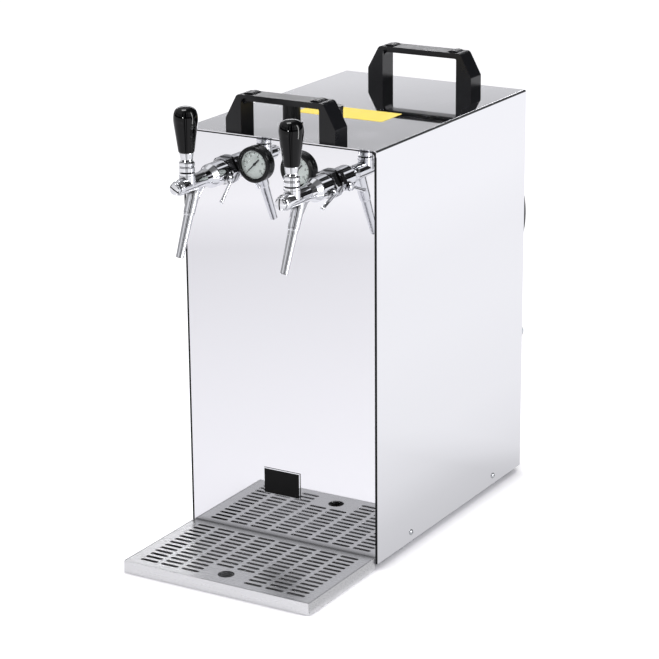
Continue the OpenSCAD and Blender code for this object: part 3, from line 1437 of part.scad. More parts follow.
// Frame of the mains switch, with the pocket that the rocker tilts in
module at_switch() in_cabinet() translate([rocker_x, cab_d, panel_row_z]) inwards() children();
module mains_switch() color(black_plastic) at_switch() difference() {
    union() {
        linear_extrude(rocker_bezel_t) rounded_rect(
            rocker_w + 2 * (inlet_wall + rocker_bezel_t), rocker_h + 2 * (inlet_wall + rocker_bezel_t),
            rocker_bezel_round);
        translate([0, 0, -rocker_depth]) linear_extrude(rocker_depth + rocker_bezel_t / 2)
            square([rocker_w + 2 * inlet_wall - 2 * fit, rocker_h + 2 * inlet_wall - 2 * fit], center = true);
    }
    translate([0, 0, rocker_bezel_t + inlet_wall - rocker_depth]) linear_extrude(rocker_depth)
        square([rocker_w, rocker_h], center = true);
    rotate([0, 90, 0])
        cylinder(r = rocker_pin_r + run_gap, h = rocker_w + 2 * rocker_pin_r, center = true);
}

// Rocker on its cross pin, shown switched off
module mains_rocker() color(black_plastic) at_switch() {
    rotate([rocker_tilt, 0, 0])
        cube([rocker_w - 2 * slide_gap, rocker_h - 4 * rocker_play, rocker_t], center = true);
    rotate([0, 90, 0]) cylinder(r = rocker_pin_r, h = rocker_w + rocker_pin_r, center = true);
}

module thermostat() color(plain_steel) in_cabinet() translate([stat_x, cab_d - sheet_t - fit, panel_row_z]) {
    translate([-stat_w / 2, -stat_d, -stat_h / 2]) cube([stat_w, stat_d, stat_h]);
    inwards() cylinder(r = stat_shaft_r, h = sheet_t + stat_knob_h / 2);
}

module thermostat_knob() color(black_plastic) in_cabinet() translate([stat_x, cab_d + stat_gap, panel_row_z])
    inwards() difference() {
        union() {
            rotate_extrude() polygon(rounded(
                [
                    [0, 0], [stat_knob_r, 0], [stat_knob_r, stat_knob_h / 4],
                    [stat_knob_r * 0.85, stat_knob_h * 0.75], [0, stat_knob_h * 0.75]
                ],
                [0, 0.5, 1, 1.5, 0]
            ));
            translate([-stat_ridge_w / 2, -stat_knob_r * 0.8, 0])
                cube([stat_ridge_w, 2 * stat_knob_r * 0.8, stat_knob_h]);
        }
        translate([0, 0, -cut]) cylinder(r = stat_shaft_r + run_gap, h = stat_knob_h / 2 + cut);
    }

cover();
front_panel();
front_seal();
base_tray();
rear_panel();
feet();
panel_screws();
handle_front();
handle_rear();
handle_screws();
tap_shanks();
shank_locknuts();
coupling_nuts();
nose_caps();
tap_body_left();
tap_body_right();
spout_left();
spout_right();
tap_lever_left();
tap_lever_right();
lever_ferrule_left();
lever_ferrule_right();
tap_handle_left();
tap_handle_right();
tap_plunger_left();
tap_plunger_right();
flow_lever_left();
flow_lever_right();
flow_cone_left();
flow_cone_right();
gauge_cases();
gauge_dials();
gauge_lenses();
gauge_needle_left();
gauge_needle_right();
regulators();
regulator_knob_left();
regulator_knob_right();
drip_tray();
drip_grille();
insulation_box();
cooling_plates();
beer_coils();
evaporator_coil();
compressor();
compressor_grommets();
condenser();
refrigerant_lines();
fan_motor();
fan_bracket();
fan_rotor();
fan_guard();
beer_hoses();
gas_hoses();
line_fittings();
mains_inlet();
mains_switch();
mains_rocker();
thermostat();
thermostat_knob();
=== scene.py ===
# Two-tap draft beer cooler: finishes, small trim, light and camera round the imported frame
import math

import bmesh
import bpy
from mathutils import Matrix, Vector


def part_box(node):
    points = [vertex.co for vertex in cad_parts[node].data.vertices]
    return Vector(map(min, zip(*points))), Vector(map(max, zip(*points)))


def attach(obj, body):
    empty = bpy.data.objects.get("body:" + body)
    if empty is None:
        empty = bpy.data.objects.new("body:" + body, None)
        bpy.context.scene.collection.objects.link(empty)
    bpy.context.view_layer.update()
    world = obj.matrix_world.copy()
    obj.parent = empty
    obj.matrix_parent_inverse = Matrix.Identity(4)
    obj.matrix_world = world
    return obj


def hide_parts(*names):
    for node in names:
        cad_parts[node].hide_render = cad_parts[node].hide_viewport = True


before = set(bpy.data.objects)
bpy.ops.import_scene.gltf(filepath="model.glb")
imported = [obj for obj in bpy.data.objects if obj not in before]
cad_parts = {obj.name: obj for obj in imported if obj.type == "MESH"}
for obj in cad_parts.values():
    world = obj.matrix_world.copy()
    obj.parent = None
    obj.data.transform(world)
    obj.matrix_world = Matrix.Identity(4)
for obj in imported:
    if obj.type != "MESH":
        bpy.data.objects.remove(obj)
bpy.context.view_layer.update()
print("frame loaded:", len(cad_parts), "nodes")

mm = 0.001
forwards = (0, -1, 0)
backwards = (0, 1, 0)
upwards = (0, 0, 1)
scene = bpy.context.scene
scene.view_settings.view_transform = "Standard"

# Camera: place and angles come from the cabinet's edges in the photograph
camera = dict(place=(1.64539, -2.79806, 1.30776), azimuth=30.604, elevation=17.527, roll=-0.488,
              lens=130.93, sensor=36, farthest=60)


def placeCamera(s):
    azimuth, elevation, roll = (math.radians(s[angle]) for angle in ("azimuth", "elevation", "roll"))
    back = Vector((
        math.sin(azimuth) * math.cos(elevation),
        -math.cos(azimuth) * math.cos(elevation),
        math.sin(elevation),
    ))
    level = Vector((math.cos(azimuth), math.sin(azimuth), 0))
    right = math.cos(roll) * level + math.sin(roll) * back.cross(level)
    up = back.cross(right)
    turn = Matrix((right, up, back)).transposed().to_4x4()
    data = bpy.data.cameras.new("camera")
    data.lens = s["lens"]
    data.sensor_width = s["sensor"]
    data.clip_end = s["farthest"]
    eye = bpy.data.objects.new("camera", data)
    eye.matrix_world = Matrix.Translation(s["place"]) @ turn
    scene.collection.objects.link(eye)
    scene.camera = eye


placeCamera(camera)
print("camera placed")


# Colour and node helpers

def linear(hexColour):
    # sRGB hex to the linear colour that a socket takes
    channels = [int(hexColour[i:i + 2], 16) / 255 for i in (1, 3, 5)]
    return [c / 12.92 if c <= 0.04045 else ((c + 0.055) / 1.055) ** 2.4 for c in channels] + [1]


def addNode(tree, kind, inputs=None, to=None, out=0, stops=None, **settings):
    # adds a node, sets or links its inputs by name or number, gives a colour ramp its grey stops, and links
    # one of the outputs on to a socket
    node = tree.nodes.new("ShaderNode" + kind)
    for name, value in settings.items():
        setattr(node, name, value)
    for name, value in (inputs or {}).items():
        if isinstance(value, bpy.types.Node):
            value = value.outputs[0]
        if isinstance(value, bpy.types.NodeSocket):
            tree.links.new(value, node.inputs[name])
        else:
            node.inputs[name].default_value = value
    for i, (place, grey) in enumerate(sorted((stops or {}).items())):
        marks = node.color_ramp.elements
        mark = marks[i] if i < 2 else marks.new(place)
        mark.position = place
        mark.color = (grey, grey, grey, 1)
    if to:
        tree.links.new(node.outputs[out], to)
    return node


def newMaterial(name, colour, **sockets):
    # gives the material, its node tree, its shader's sockets and the place on the object
    material = bpy.data.materials.new(name)
    material.use_nodes = True
    tree = material.node_tree
    shader = tree.nodes["Principled BSDF"].inputs
    shader["Base Color"].default_value = linear(colour)
    for socket, value in sockets.items():
        shader[socket.replace("_", " ")].default_value = value
    return material, tree, shader, addNode(tree, "TexCoord").outputs["Object"]


def perMm(size):
    return 1 / (size * mm)  # texture scale at which one cycle spans so many millimetres


# Materials. A Map Range reads from socket 1 to 2 and gives 3 to 4, and a Mix takes its share at 0, its
# numbers at 2 and 3 and its colours at 6 and 7
noiseRange = {1: 0.3, 2: 0.7}  # most of a noise lies between these


def mirrorSteel():
    # stainless 304 sheet buffed to a mirror: sharp, with buffing haze and slow waves in the sheet
    material, tree, shader, place = newMaterial("mirror polished stainless", "#EFEFF2", Metallic=1.0)
    haze = addNode(tree, "TexNoise", {"Vector": place, "Scale": perMm(60), "Detail": 3})
    addNode(tree, "MapRange", {"Value": haze, **noiseRange, 3: 0.02, 4: 0.045}, to=shader["Roughness"])
    wave = addNode(tree, "TexNoise", {"Vector": place, "Scale": perMm(170), "Detail": 1})
    addNode(tree, "Bump", {"Height": wave, "Distance": 0.012 * mm, "Strength": 0.5}, to=shader["Normal"])
    return material


def groundSteel():
    # stainless 304 with a ground satin face: blurred reflections and short lines along the tray, which are
    # coarser than the real 0.2 mm, so that they show
    material, tree, shader, place = newMaterial("satin ground stainless", "#DBDBDC", Metallic=1.0)
    along = addNode(tree, "Mapping", {"Vector": place, "Scale": (0.04, 1, 1)})
    lines = addNode(tree, "TexNoise", {"Vector": along, "Scale": perMm(1.4), "Detail": 4})
    addNode(tree, "MapRange", {"Value": lines, **noiseRange, 3: 0.24, 4: 0.36}, to=shader["Roughness"])
    addNode(tree, "Bump", {"Height": lines, "Distance": 0.01 * mm, "Strength": 0.4}, to=shader["Normal"])
    # painted shade: a level face deep in the well is painted dark where other surfaces close it in, while
    # upright faces and open ones stay light
    nearby = addNode(tree, "AmbientOcclusion", {"Distance": 30 * mm}, samples=8)
    outOfPaintedShade = addNode(tree, "MapRange", {"Value": nearby.outputs["AO"], 1: 0.4, 2: 0.8})
    normal = addNode(tree, "SeparateXYZ", {"Vector": addNode(tree, "NewGeometry").outputs["Normal"]})
    upright = addNode(tree, "MapRange", {"Value": normal.outputs["Z"], 1: 0.7, 2: 0.3})
    bright = addNode(tree, "Math", {0: outOfPaintedShade, 1: upright}, operation="MAXIMUM")
    addNode(tree, "Mix", {0: bright, 6: linear("#0A0A0B"), 7: linear("#DBDBDC")},
            to=shader["Base Color"], out=2, data_type="RGBA")
    return material


def rolledSteel():
    # cold rolled 2B stainless: grey, with soft reflections drawn out along the rolling direction. The grain
    # is coarser than the real 0.1 mm, so that it shows
    material, tree, shader, place = newMaterial("rolled stainless sheet", "#C9CBCE", Metallic=1.0,
                                                Anisotropic=0.4)
    along = addNode(tree, "Mapping", {"Vector": place, "Scale": (0.06, 1, 1)})
    grain = addNode(tree, "TexNoise", {"Vector": along, "Scale": perMm(3), "Detail": 4})
    addNode(tree, "MapRange", {"Value": grain, **noiseRange, 3: 0.26, 4: 0.4}, to=shader["Roughness"])
    addNode(tree, "Bump", {"Height": grain, "Distance": 0.01 * mm, "Strength": 0.3}, to=shader["Normal"])
    return material


def chrome():
    # chrome plate on polished brass: hard mirror with fine polishing ripples, and painted shade deep in the
    # joints
    material, tree, shader, place = newMaterial("chrome plated brass", "#E9EAED", Metallic=1.0)
    stain = addNode(tree, "TexNoise", {"Vector": place, "Scale": perMm(9), "Detail": 2})
    addNode(tree, "MapRange", {"Value": stain, **noiseRange, 3: 0.015, 4: 0.04}, to=shader["Roughness"])
    ripple = addNode(tree, "TexNoise", {"Vector": place, "Scale": perMm(14), "Detail": 1})
    addNode(tree, "Bump", {"Height": ripple, "Distance": 0.02 * mm, "Strength": 0.5}, to=shader["Normal"])
    # painted shade: the plate's colour is painted dark where nearby surfaces close it in, in joints, slots
    # and recesses
    nearby = addNode(tree, "AmbientOcclusion", {"Distance": 6 * mm}, samples=8)
    outOfPaintedShade = addNode(tree, "MapRange", {"Value": nearby.outputs["AO"], 1: 0.44, 2: 0.9})
    addNode(tree, "Mix", {0: outOfPaintedShade, 6: linear("#17181A"), 7: linear("#E9EAED")},
            to=shader["Base Color"], out=2, data_type="RGBA")
    return material


def glossPhenolic():
    # compression moulded black phenolic, polished after moulding: deep black under a clear gloss
    material, tree, shader, place = newMaterial("polished black phenolic", "#010102", IOR=1.58,
                                                Specular_IOR_Level=0.22)
    rub = addNode(tree, "TexNoise", {"Vector": place, "Scale": perMm(20), "Detail": 2})
    addNode(tree, "MapRange", {"Value": rub, **noiseRange, 3: 0.04, 4: 0.08}, to=shader["Roughness"])
    return material


def satinMoulding(name, colour, grainMm, rough, gloss):
    # injection moulded plastic with an eroded mould finish, or enamel with the same look: satin, with an
    # even grain that is coarser than the real 0.2 mm, so that it shows
    material, tree, shader, place = newMaterial(name, colour, IOR=1.53, Specular_IOR_Level=gloss)
    wear = addNode(tree, "TexNoise", {"Vector": place, "Scale": perMm(35), "Detail": 3})
    addNode(tree, "MapRange", {"Value": wear, **noiseRange, 3: rough - 0.04, 4: rough + 0.05},
            to=shader["Roughness"])
    grain = addNode(tree, "TexNoise", {"Vector": place, "Scale": perMm(grainMm), "Detail": 2})
    addNode(tree, "Bump", {"Height": grain, "Distance": 0.03 * mm, "Strength": 0.5}, to=shader["Normal"])
    return material


def rubber():
    # extruded EPDM: matt black with a dusty bloom and a rough skin, coarser than the real 0.3 mm, so that it
    # shows
    material, tree, shader, place = newMaterial("EPDM rubber", "#0D0E0F", IOR=1.5, Specular_IOR_Level=0.25)
    bloom = addNode(tree, "TexNoise", {"Vector": place, "Scale": perMm(12), "Detail": 4})
    addNode(tree, "Mix", {0: bloom, 6: linear("#0A0B0C"), 7: linear("#15171A")},
            to=shader["Base Color"], out=2, data_type="RGBA")
    addNode(tree, "MapRange", {"Value": bloom, **noiseRange, 3: 0.55, 4: 0.75}, to=shader["Roughness"])
    skin = addNode(tree, "TexNoise", {"Vector": place, "Scale": perMm(0.8), "Detail": 2})
    addNode(tree, "Bump", {"Height": skin, "Distance": 0.05 * mm, "Strength": 0.5}, to=shader["Normal"])
    return material


def dialCard():
    # dial of enamelled aluminium sheet: pale and matt with a trace of green, slightly mottled
    material, tree, shader, place = newMaterial("enamelled dial", "#F4F7F5", IOR=1.5)
    mottle = addNode(tree, "TexNoise", {"Vector": place, "Scale": perMm(5), "Detail": 4})
    addNode(tree, "Mix", {0: mottle, 6: linear("#EDF1EF"), 7: linear("#FAFCFB")},
            to=shader["Base Color"], out=2, data_type="RGBA")
    addNode(tree, "MapRange", {"Value": mottle, **noiseRange, 3: 0.4, 4: 0.55}, to=shader["Roughness"])
    return material


def printedInk(name, colour):
    # screen printed or painted layer, semi-matt, its grain coarser than the real 0.3 mm, so that it shows
    material, tree, shader, place = newMaterial(name, colour, IOR=1.5)
    grain = addNode(tree, "TexNoise", {"Vector": place, "Scale": perMm(1.5), "Detail": 2})
    addNode(tree, "MapRange", {"Value": grain, **noiseRange, 3: 0.3, 4: 0.45}, to=shader["Roughness"])
    return material


def gaugeGlass():
    # flat window glass, clear with a hard reflection; light passes it, so that the dial is lit
    material, tree, shader, place = newMaterial("window glass", "#FAFCFB", IOR=1.45,
                                                Transmission_Weight=1.0)
    smear = addNode(tree, "TexNoise", {"Vector": place, "Scale": perMm(15), "Detail": 2})
    addNode(tree, "MapRange", {"Value": smear, **noiseRange, 3: 0.0, 4: 0.02}, to=shader["Roughness"])
    ray = addNode(tree, "LightPath").outputs
    indirect = addNode(tree, "Math", {0: ray["Is Shadow Ray"], 1: ray["Is Diffuse Ray"]},
                       operation="MAXIMUM")
    clear = addNode(tree, "BsdfTransparent", {"Color": linear("#F6F8F7")})
    addNode(tree, "MixShader", {0: indirect, 1: tree.nodes["Principled BSDF"], 2: clear},
            to=tree.nodes["Material Output"].inputs["Surface"])
    return material


def milledAluminium():
    # mill finish aluminium: pale grey and satin, with marks along the sheet that are coarser than the real
    # 0.3 mm, so that they show
    material, tree, shader, place = newMaterial("mill finish aluminium", "#C3C6C9", Metallic=1.0)
    along = addNode(tree, "Mapping", {"Vector": place, "Scale": (1, 1, 0.08)})
    marks = addNode(tree, "TexNoise", {"Vector": along, "Scale": perMm(2.5), "Detail": 3})
    addNode(tree, "MapRange", {"Value": marks, **noiseRange, 3: 0.28, 4: 0.42}, to=shader["Roughness"])
    return material


def copper():
    # drawn copper tube, lightly oxidised, brown in patches
    material, tree, shader, place = newMaterial("drawn copper tube", "#C98258", Metallic=1.0)
    oxide = addNode(tree, "TexNoise", {"Vector": place, "Scale": perMm(18), "Detail": 4})
    addNode(tree, "Mix", {0: oxide, 6: linear("#B06A45"), 7: linear("#D69068")},
            to=shader["Base Color"], out=2, data_type="RGBA")
    addNode(tree, "MapRange", {"Value": oxide, **noiseRange, 3: 0.38, 4: 0.2}, to=shader["Roughness"])
    return material


def stoveEnamel():
    # black stoving enamel over steel, glossy with orange peel
    material, tree, shader, place = newMaterial("black stoving enamel", "#101112", IOR=1.5, Coat_Weight=0.5,
                                                Coat_Roughness=0.12)
    flow = addNode(tree, "TexNoise", {"Vector": place, "Scale": perMm(8), "Detail": 2})
    addNode(tree, "MapRange", {"Value": flow, **noiseRange, 3: 0.25, 4: 0.35}, to=shader["Roughness"])
    peel = addNode(tree, "TexNoise", {"Vector": place, "Scale": perMm(1.6), "Detail": 2})
    addNode(tree, "Bump", {"Height": peel, "Distance": 0.03 * mm, "Strength": 0.5}, to=shader["Normal"])
    return material


def closedCellFoam():
    # nitrile foam board: dark grey and dull, with closed cells, coarser than the real 0.4 mm, so that they
    # show
    material, tree, shader, place = newMaterial("nitrile foam board", "#3A3C3F", IOR=1.45, Roughness=0.9)
    cells = addNode(tree, "TexVoronoi", {"Vector": place, "Scale": perMm(1.2)})
    addNode(tree, "Mix", {0: cells, 6: linear("#2F3134"), 7: linear("#47494D")},
            to=shader["Base Color"], out=2, data_type="RGBA")
    addNode(tree, "Bump", {"Height": cells, "Distance": 0.15 * mm, "Strength": 0.7}, to=shader["Normal"])
    return material


def acetal():
    # moulded grey acetal of push-in fittings: waxy satin, its mould grain coarser than the real 0.2 mm, so
    # that it shows
    material, tree, shader, place = newMaterial("moulded grey acetal", "#B9BCBF", IOR=1.48,
                                                Subsurface_Weight=0.05)
    flow = addNode(tree, "TexNoise", {"Vector": place, "Scale": perMm(10), "Detail": 3})
    addNode(tree, "MapRange", {"Value": flow, **noiseRange, 3: 0.3, 4: 0.42}, to=shader["Roughness"])
    grain = addNode(tree, "TexNoise", {"Vector": place, "Scale": perMm(0.9), "Detail": 2})
    addNode(tree, "Bump", {"Height": grain, "Distance": 0.02 * mm, "Strength": 0.4}, to=shader["Normal"])
    return material


def lineTube():
    # natural polyethylene beer line: milky and slightly see-through
    material, tree, shader, place = newMaterial("natural polyethylene tube", "#D9D4C4", IOR=1.51,
                                                Transmission_Weight=0.25)
    cloud = addNode(tree, "TexNoise", {"Vector": place, "Scale": perMm(12), "Detail": 3})
    addNode(tree, "MapRange", {"Value": cloud, **noiseRange, 3: 0.25, 4: 0.38}, to=shader["Roughness"])
    return material


def stickerFilm():
    # blank yellow vinyl label: even colour, thin clear gloss
    material, tree, shader, place = newMaterial("yellow vinyl film", "#F4DA60", IOR=1.5,
                                                Specular_IOR_Level=0.12)
    fade = addNode(tree, "TexNoise", {"Vector": place, "Scale": perMm(30), "Detail": 3})
    addNode(tree, "Mix", {0: fade, 6: linear("#F1D658"), 7: linear("#F8DE68")},
            to=shader["Base Color"], out=2, data_type="RGBA")
    addNode(tree, "MapRange", {"Value": fade, **noiseRange, 3: 0.42, 4: 0.55}, to=shader["Roughness"])
    return material


def brassPin():
    # nickel plated brass contacts: warm grey with a soft shine
    material, tree, shader, place = newMaterial("nickel plated brass", "#C9BFA6", Metallic=1.0)
    rub = addNode(tree, "TexNoise", {"Vector": place, "Scale": perMm(3), "Detail": 2})
    addNode(tree, "MapRange", {"Value": rub, **noiseRange, 3: 0.18, 4: 0.3}, to=shader["Roughness"])
    return material


steel = mirrorSteel()
satin = groundSteel()
sheet = rolledSteel()
plate = chrome()
phenolic = glossPhenolic()
handleNylon = satinMoulding("satin black nylon", "#05060A", grainMm=0.7, rough=0.3, gloss=0.4)
knobNylon = satinMoulding("black knob nylon", "#090A0C", grainMm=0.6, rough=0.3, gloss=0.4)
guardNylon = satinMoulding("black guard nylon", "#101115", grainMm=0.9, rough=0.42, gloss=0.4)
bezelPlastic = satinMoulding("black gauge case ABS", "#050607", grainMm=1.1, rough=0.2, gloss=0.3)
softRubber = rubber()
dial = dialCard()
ink = printedInk("black dial ink", "#0B0C0E")
whiteInk = printedInk("white marking ink", "#E6E7E8")
badgeBlack = satinMoulding("black enamelled badge", "#050506", grainMm=0.5, rough=0.4, gloss=0.15)
glass = gaugeGlass()
aluminium = milledAluminium()
copperTube = copper()
enamel = stoveEnamel()
foam = closedCellFoam()
greyAcetal = acetal()
beerTube = lineTube()
film = stickerFilm()
contact = brassPin()

finish = {
    "cover": steel, "front_panel": steel, "front_seal": softRubber, "base_tray": sheet, "rear_panel": sheet,
    "feet": softRubber, "panel_screws": sheet, "handle_front": handleNylon, "handle_rear": handleNylon,
    "handle_screws": sheet, "tap_shanks": plate, "shank_locknuts": plate, "coupling_nuts": plate,
    "nose_caps": plate, "gauge_cases": bezelPlastic, "gauge_dials": dial, "gauge_lenses": glass,
    "regulators": plate, "drip_tray": satin, "drip_grille": satin, "insulation_box": foam,
    "cooling_plates": aluminium, "beer_coils": sheet, "evaporator_coil": copperTube, "compressor": enamel,
    "compressor_grommets": softRubber, "condenser": aluminium, "refrigerant_lines": copperTube,
    "fan_motor": enamel, "fan_bracket": sheet, "fan_rotor": guardNylon, "fan_guard": guardNylon,
    "beer_hoses": beerTube, "gas_hoses": softRubber, "line_fittings": greyAcetal,
    "mains_inlet": bezelPlastic, "mains_switch": bezelPlastic, "mains_rocker": knobNylon,
    "thermostat": sheet, "thermostat_knob": knobNylon,
}
chromed = ("tap_body", "spout", "tap_lever", "lever_ferrule", "tap_plunger", "flow_lever", "flow_cone")
for side in ("left", "right"):
    for piece in chromed:
        finish[piece + "_" + side] = plate
    finish["tap_handle_" + side] = phenolic
    finish["gauge_needle_" + side] = ink
    finish["regulator_knob_" + side] = knobNylon

for name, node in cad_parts.items():
    node.data.materials.clear()
    node.data.materials.append(finish[name])
print("finishes set on", len(finish), "nodes")


# Mesh helpers

def addMesh(name, bm, material, body, smooth=False):
    mesh = bpy.data.meshes.new(name)
    bmesh.ops.recalc_face_normals(bm, faces=bm.faces)
    bm.to_mesh(mesh)
    bm.free()
    mesh.materials.append(material)
    piece = bpy.data.objects.new(name, mesh)
    scene.collection.objects.link(piece)
    if smooth:
        mesh.shade_smooth()
    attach(piece, body)
    return piece


def prism(bm, outline, thick, toWorld):
    # a plate of any outline in its own XY plane, its back on z = 0
    back = [bm.verts.new(toWorld @ Vector((x, y, 0))) for x, y in outline]
    front = [bm.verts.new(toWorld @ Vector((x, y, thick))) for x, y in outline]
    bm.faces.new(front)
    bm.faces.new(list(reversed(back)))
    for i in range(len(outline)):
        j = (i + 1) % len(outline)
        bm.faces.new((back[i], back[j], front[j], front[i]))


def roundedPlate(bm, width, height, thick, radius, toWorld, steps=5):
    # a plate about the origin, each of its corners rounded in so many steps
    outline = []
    for quarter in range(4):
        centreX = (width / 2 - radius) * (1, -1, -1, 1)[quarter]
        centreY = (height / 2 - radius) * (1, 1, -1, -1)[quarter]
        for i in range(steps + 1):
            angle = math.radians(90 * quarter + 90 * i / steps)
            outline.append((centreX + radius * math.cos(angle), centreY + radius * math.sin(angle)))
    prism(bm, outline, thick, toWorld)


def turned(bm, profile, toWorld, steps, closed=False):
    # turns (radius, height) points about the local Z axis; closed joins the last to the first
    rings = []
    for radius, height in profile:
        spokes = [2 * math.pi * i / steps for i in range(steps if radius > 0 else 1)]
        points = [Vector((radius * math.cos(a), radius * math.sin(a), height)) for a in spokes]
        rings.append([bm.verts.new(toWorld @ point) for point in points])
    for low, high in zip(rings, rings[1:] + (rings[:1] if closed else [])):
        for i in range(steps):
            j = (i + 1) % steps
            corners = (low[i % len(low)], low[j % len(low)], high[j % len(high)], high[i % len(high)])
            bm.faces.new(list(dict.fromkeys(corners)))


def facing(place, normal, up):
    # frame whose Z is the normal and whose Y is up
    z = Vector(normal)
    y = Vector(up)
    x = y.cross(z)
    return Matrix.Translation(place) @ Matrix((x, y, z)).transposed().to_4x4()


def middle(node):
    low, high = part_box(node)
    return (Vector(low) + Vector(high)) / 2


def addText(name, words, size, thick, place, material):
    curve = bpy.data.curves.new(name, "FONT")
    curve.body = words
    curve.size = size
    curve.align_x = "CENTER"
    curve.align_y = "CENTER"
    curve.extrude = thick / 2
    curve.materials.append(material)
    text = bpy.data.objects.new(name, curve)
    text.matrix_world = place
    scene.collection.objects.link(text)
    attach(text, "cabinet")


def scaleAngle(s, i, count):
    # angle of mark i out of count, anticlockwise from the right. A scale's start is clockwise from its top
    return math.radians(90 - s["start"] - s["sweep"] * i / count)


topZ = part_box("cover")[1][2]
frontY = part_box("front_panel")[0][1]
airGap = 0.02 * mm  # between a face and the trim that lies on it
markCorner = 0.2  # corner radius of a printed mark, as a share of its width

# Black tap handles: a straight taper up to a full bulb with a rounded top, as (radius, height) shares
tapHandle = dict(extraHeight=1.2 * mm, facets=32, subdivisions=2, profileShare=(
    (0, 0), (0.60, 0), (0.65, 0.006), (0.66, 0.03), (0.705, 0.12), (0.825, 0.36), (0.945, 0.59),
    (0.995, 0.70), (0.975, 0.82), (0.87, 0.912), (0.67, 0.966), (0.38, 0.993), (0, 1),
))


def makeTapHandle(s, side):
    low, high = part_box("tap_handle_" + side)
    centre = middle("tap_handle_" + side)
    radius = (high[0] - low[0]) / 2
    height = high[2] - low[2] + s["extraHeight"]
    bm = bmesh.new()
    turned(bm, [(r * radius, h * height) for r, h in s["profileShare"]],
           Matrix.Translation((centre.x, centre.y, low[2])), s["facets"])
    grip = addMesh("turned_handle_" + side, bm, phenolic, "lever_" + side, smooth=True)
    smoothing = grip.modifiers.new("smoothing", "SUBSURF")
    smoothing.levels = s["subdivisions"]
    smoothing.render_levels = s["subdivisions"]
    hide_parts("tap_handle_" + side)


for side in ("left", "right"):
    makeTapHandle(tapHandle, side)
print("tap handles made")

# Blank label on the top
label = dict(centreX=0.00275, fromFront=0.1855, width=0.1385, depth=0.059, thick=0.00018, radius=0.002)


def makeLabel(s):
    bm = bmesh.new()
    roundedPlate(bm, s["width"], s["depth"], s["thick"], s["radius"],
                 facing((s["centreX"], frontY + s["fromFront"], topZ + airGap), upwards, backwards))
    addMesh("blank_label", bm, film, "cabinet")


makeLabel(label)

# Bare badge plate on the front panel, with a raised rim of four bars
badge = dict(width=0.0588, height=0.038, thick=0.0009, radius=0.0006,
             rim=0.0012, rimThick=0.0013, rimRadius=0.0003, centreZ=0.0995)


def makeBadge(s):
    at = facing((0, frontY - airGap, s["centreZ"]), forwards, upwards)
    innerWidth = s["width"] - 2 * s["rim"]
    innerHeight = s["height"] - 2 * s["rim"]
    bm = bmesh.new()
    roundedPlate(bm, innerWidth, innerHeight, s["thick"], s["radius"], at)
    addMesh("badge_plate", bm, badgeBlack, "cabinet")
    barX = (s["width"] - s["rim"]) / 2
    barY = (s["height"] - s["rim"]) / 2
    bm = bmesh.new()
    for width, height, x, y in (
        (s["width"], s["rim"], 0, barY),
        (s["width"], s["rim"], 0, -barY),
        (s["rim"], innerHeight, barX, 0),
        (s["rim"], innerHeight, -barX, 0),
    ):
        bar = at @ Matrix.Translation((x, y, 0))
        roundedPlate(bm, width, height, s["rimThick"], s["rimRadius"], bar, steps=2)
    addMesh("badge_rim", bm, plate, "cabinet")


makeBadge(badge)
print("label and badge made")

# Gauge scale: long and short ticks, with plain numbers at every second long one
dialScale = dict(start=-135, sweep=270, majors=11, minorsPer=5, radius=0.0180,
                 major=0.0034, majorWidth=0.0009, minor=0.0018, minorWidth=0.00045,
                 lift=0.00005, thick=0.00006, numberRadius=0.0122, numberSize=0.0046)


def dialMarks(s, side, centre, faceY):
    bm = bmesh.new()
    count = (s["majors"] - 1) * s["minorsPer"]
    for i in range(count + 1):
        kind = "major" if i % s["minorsPer"] == 0 else "minor"
        length = s[kind]
        width = s[kind + "Width"]
        angle = scaleAngle(s, i, count)
        radius = s["radius"] - length / 2
        place = (centre.x + radius * math.cos(angle), faceY - s["lift"],
                 centre.z + radius * math.sin(angle))
        turn = facing(place, forwards, upwards) @ Matrix.Rotation(angle, 4, "Z")
        roundedPlate(bm, length, width, s["thick"], width * markCorner, turn, steps=1)
    addMesh("dial_ticks_" + side, bm, ink, "cabinet")
    for i in range(0, s["majors"], 2):
        angle = scaleAngle(s, i, s["majors"] - 1)
        place = (centre.x + s["numberRadius"] * math.cos(angle), faceY - s["lift"] - s["thick"] / 2,
                 centre.z + s["numberRadius"] * math.sin(angle))
        addText("dial_number_%s_%d" % (side, i), str(i), s["numberSize"], s["thick"],
                facing(place, forwards, upwards), ink)


# Bezel ring of half-round section that laps over the glass, its back just clear of it
bezel = dict(inside=0.0192, outside=0.0249, proud=0.0018, fullness=0.7, gap=0.0003, arcStep=15, facets=72)


def bezelRing(s, side, centre, caseY):
    mean = (s["inside"] + s["outside"]) / 2
    half = (s["outside"] - s["inside"]) / 2
    arc = [math.radians(degrees) for degrees in range(180, -1, -s["arcStep"])]
    profile = [(mean + half * math.cos(a), s["proud"] * math.sin(a) ** s["fullness"]) for a in arc]
    place = (centre.x, caseY + s["gap"], centre.z)
    bm = bmesh.new()
    turned(bm, profile, facing(place, forwards, upwards), s["facets"], closed=True)
    addMesh("bezel_ring_" + side, bm, bezelPlastic, "cabinet", smooth=True)


# Flat blade over each needle: broad tail, tapering to the tip
blade = dict(front=0.0145, back=0.0105, half=0.00115, tip=0.0004, thick=0.00015, gap=0.00003, rest=-135)


def needleBlade(s, side, centre):
    upper = ((s["front"], s["tip"]), (0, s["half"]), (-s["back"], s["half"]))
    outline = [(x, y) for x, y in upper] + [(x, -y) for x, y in reversed(upper)]
    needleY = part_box("gauge_needle_" + side)[0][1]
    turn = facing((centre.x, needleY - s["gap"], centre.z), forwards, upwards)
    turn = turn @ Matrix.Rotation(math.radians(s["rest"]), 4, "Z")
    bm = bmesh.new()
    prism(bm, outline, s["thick"], turn)
    addMesh("needle_blade_" + side, bm, ink, "needle_" + side)


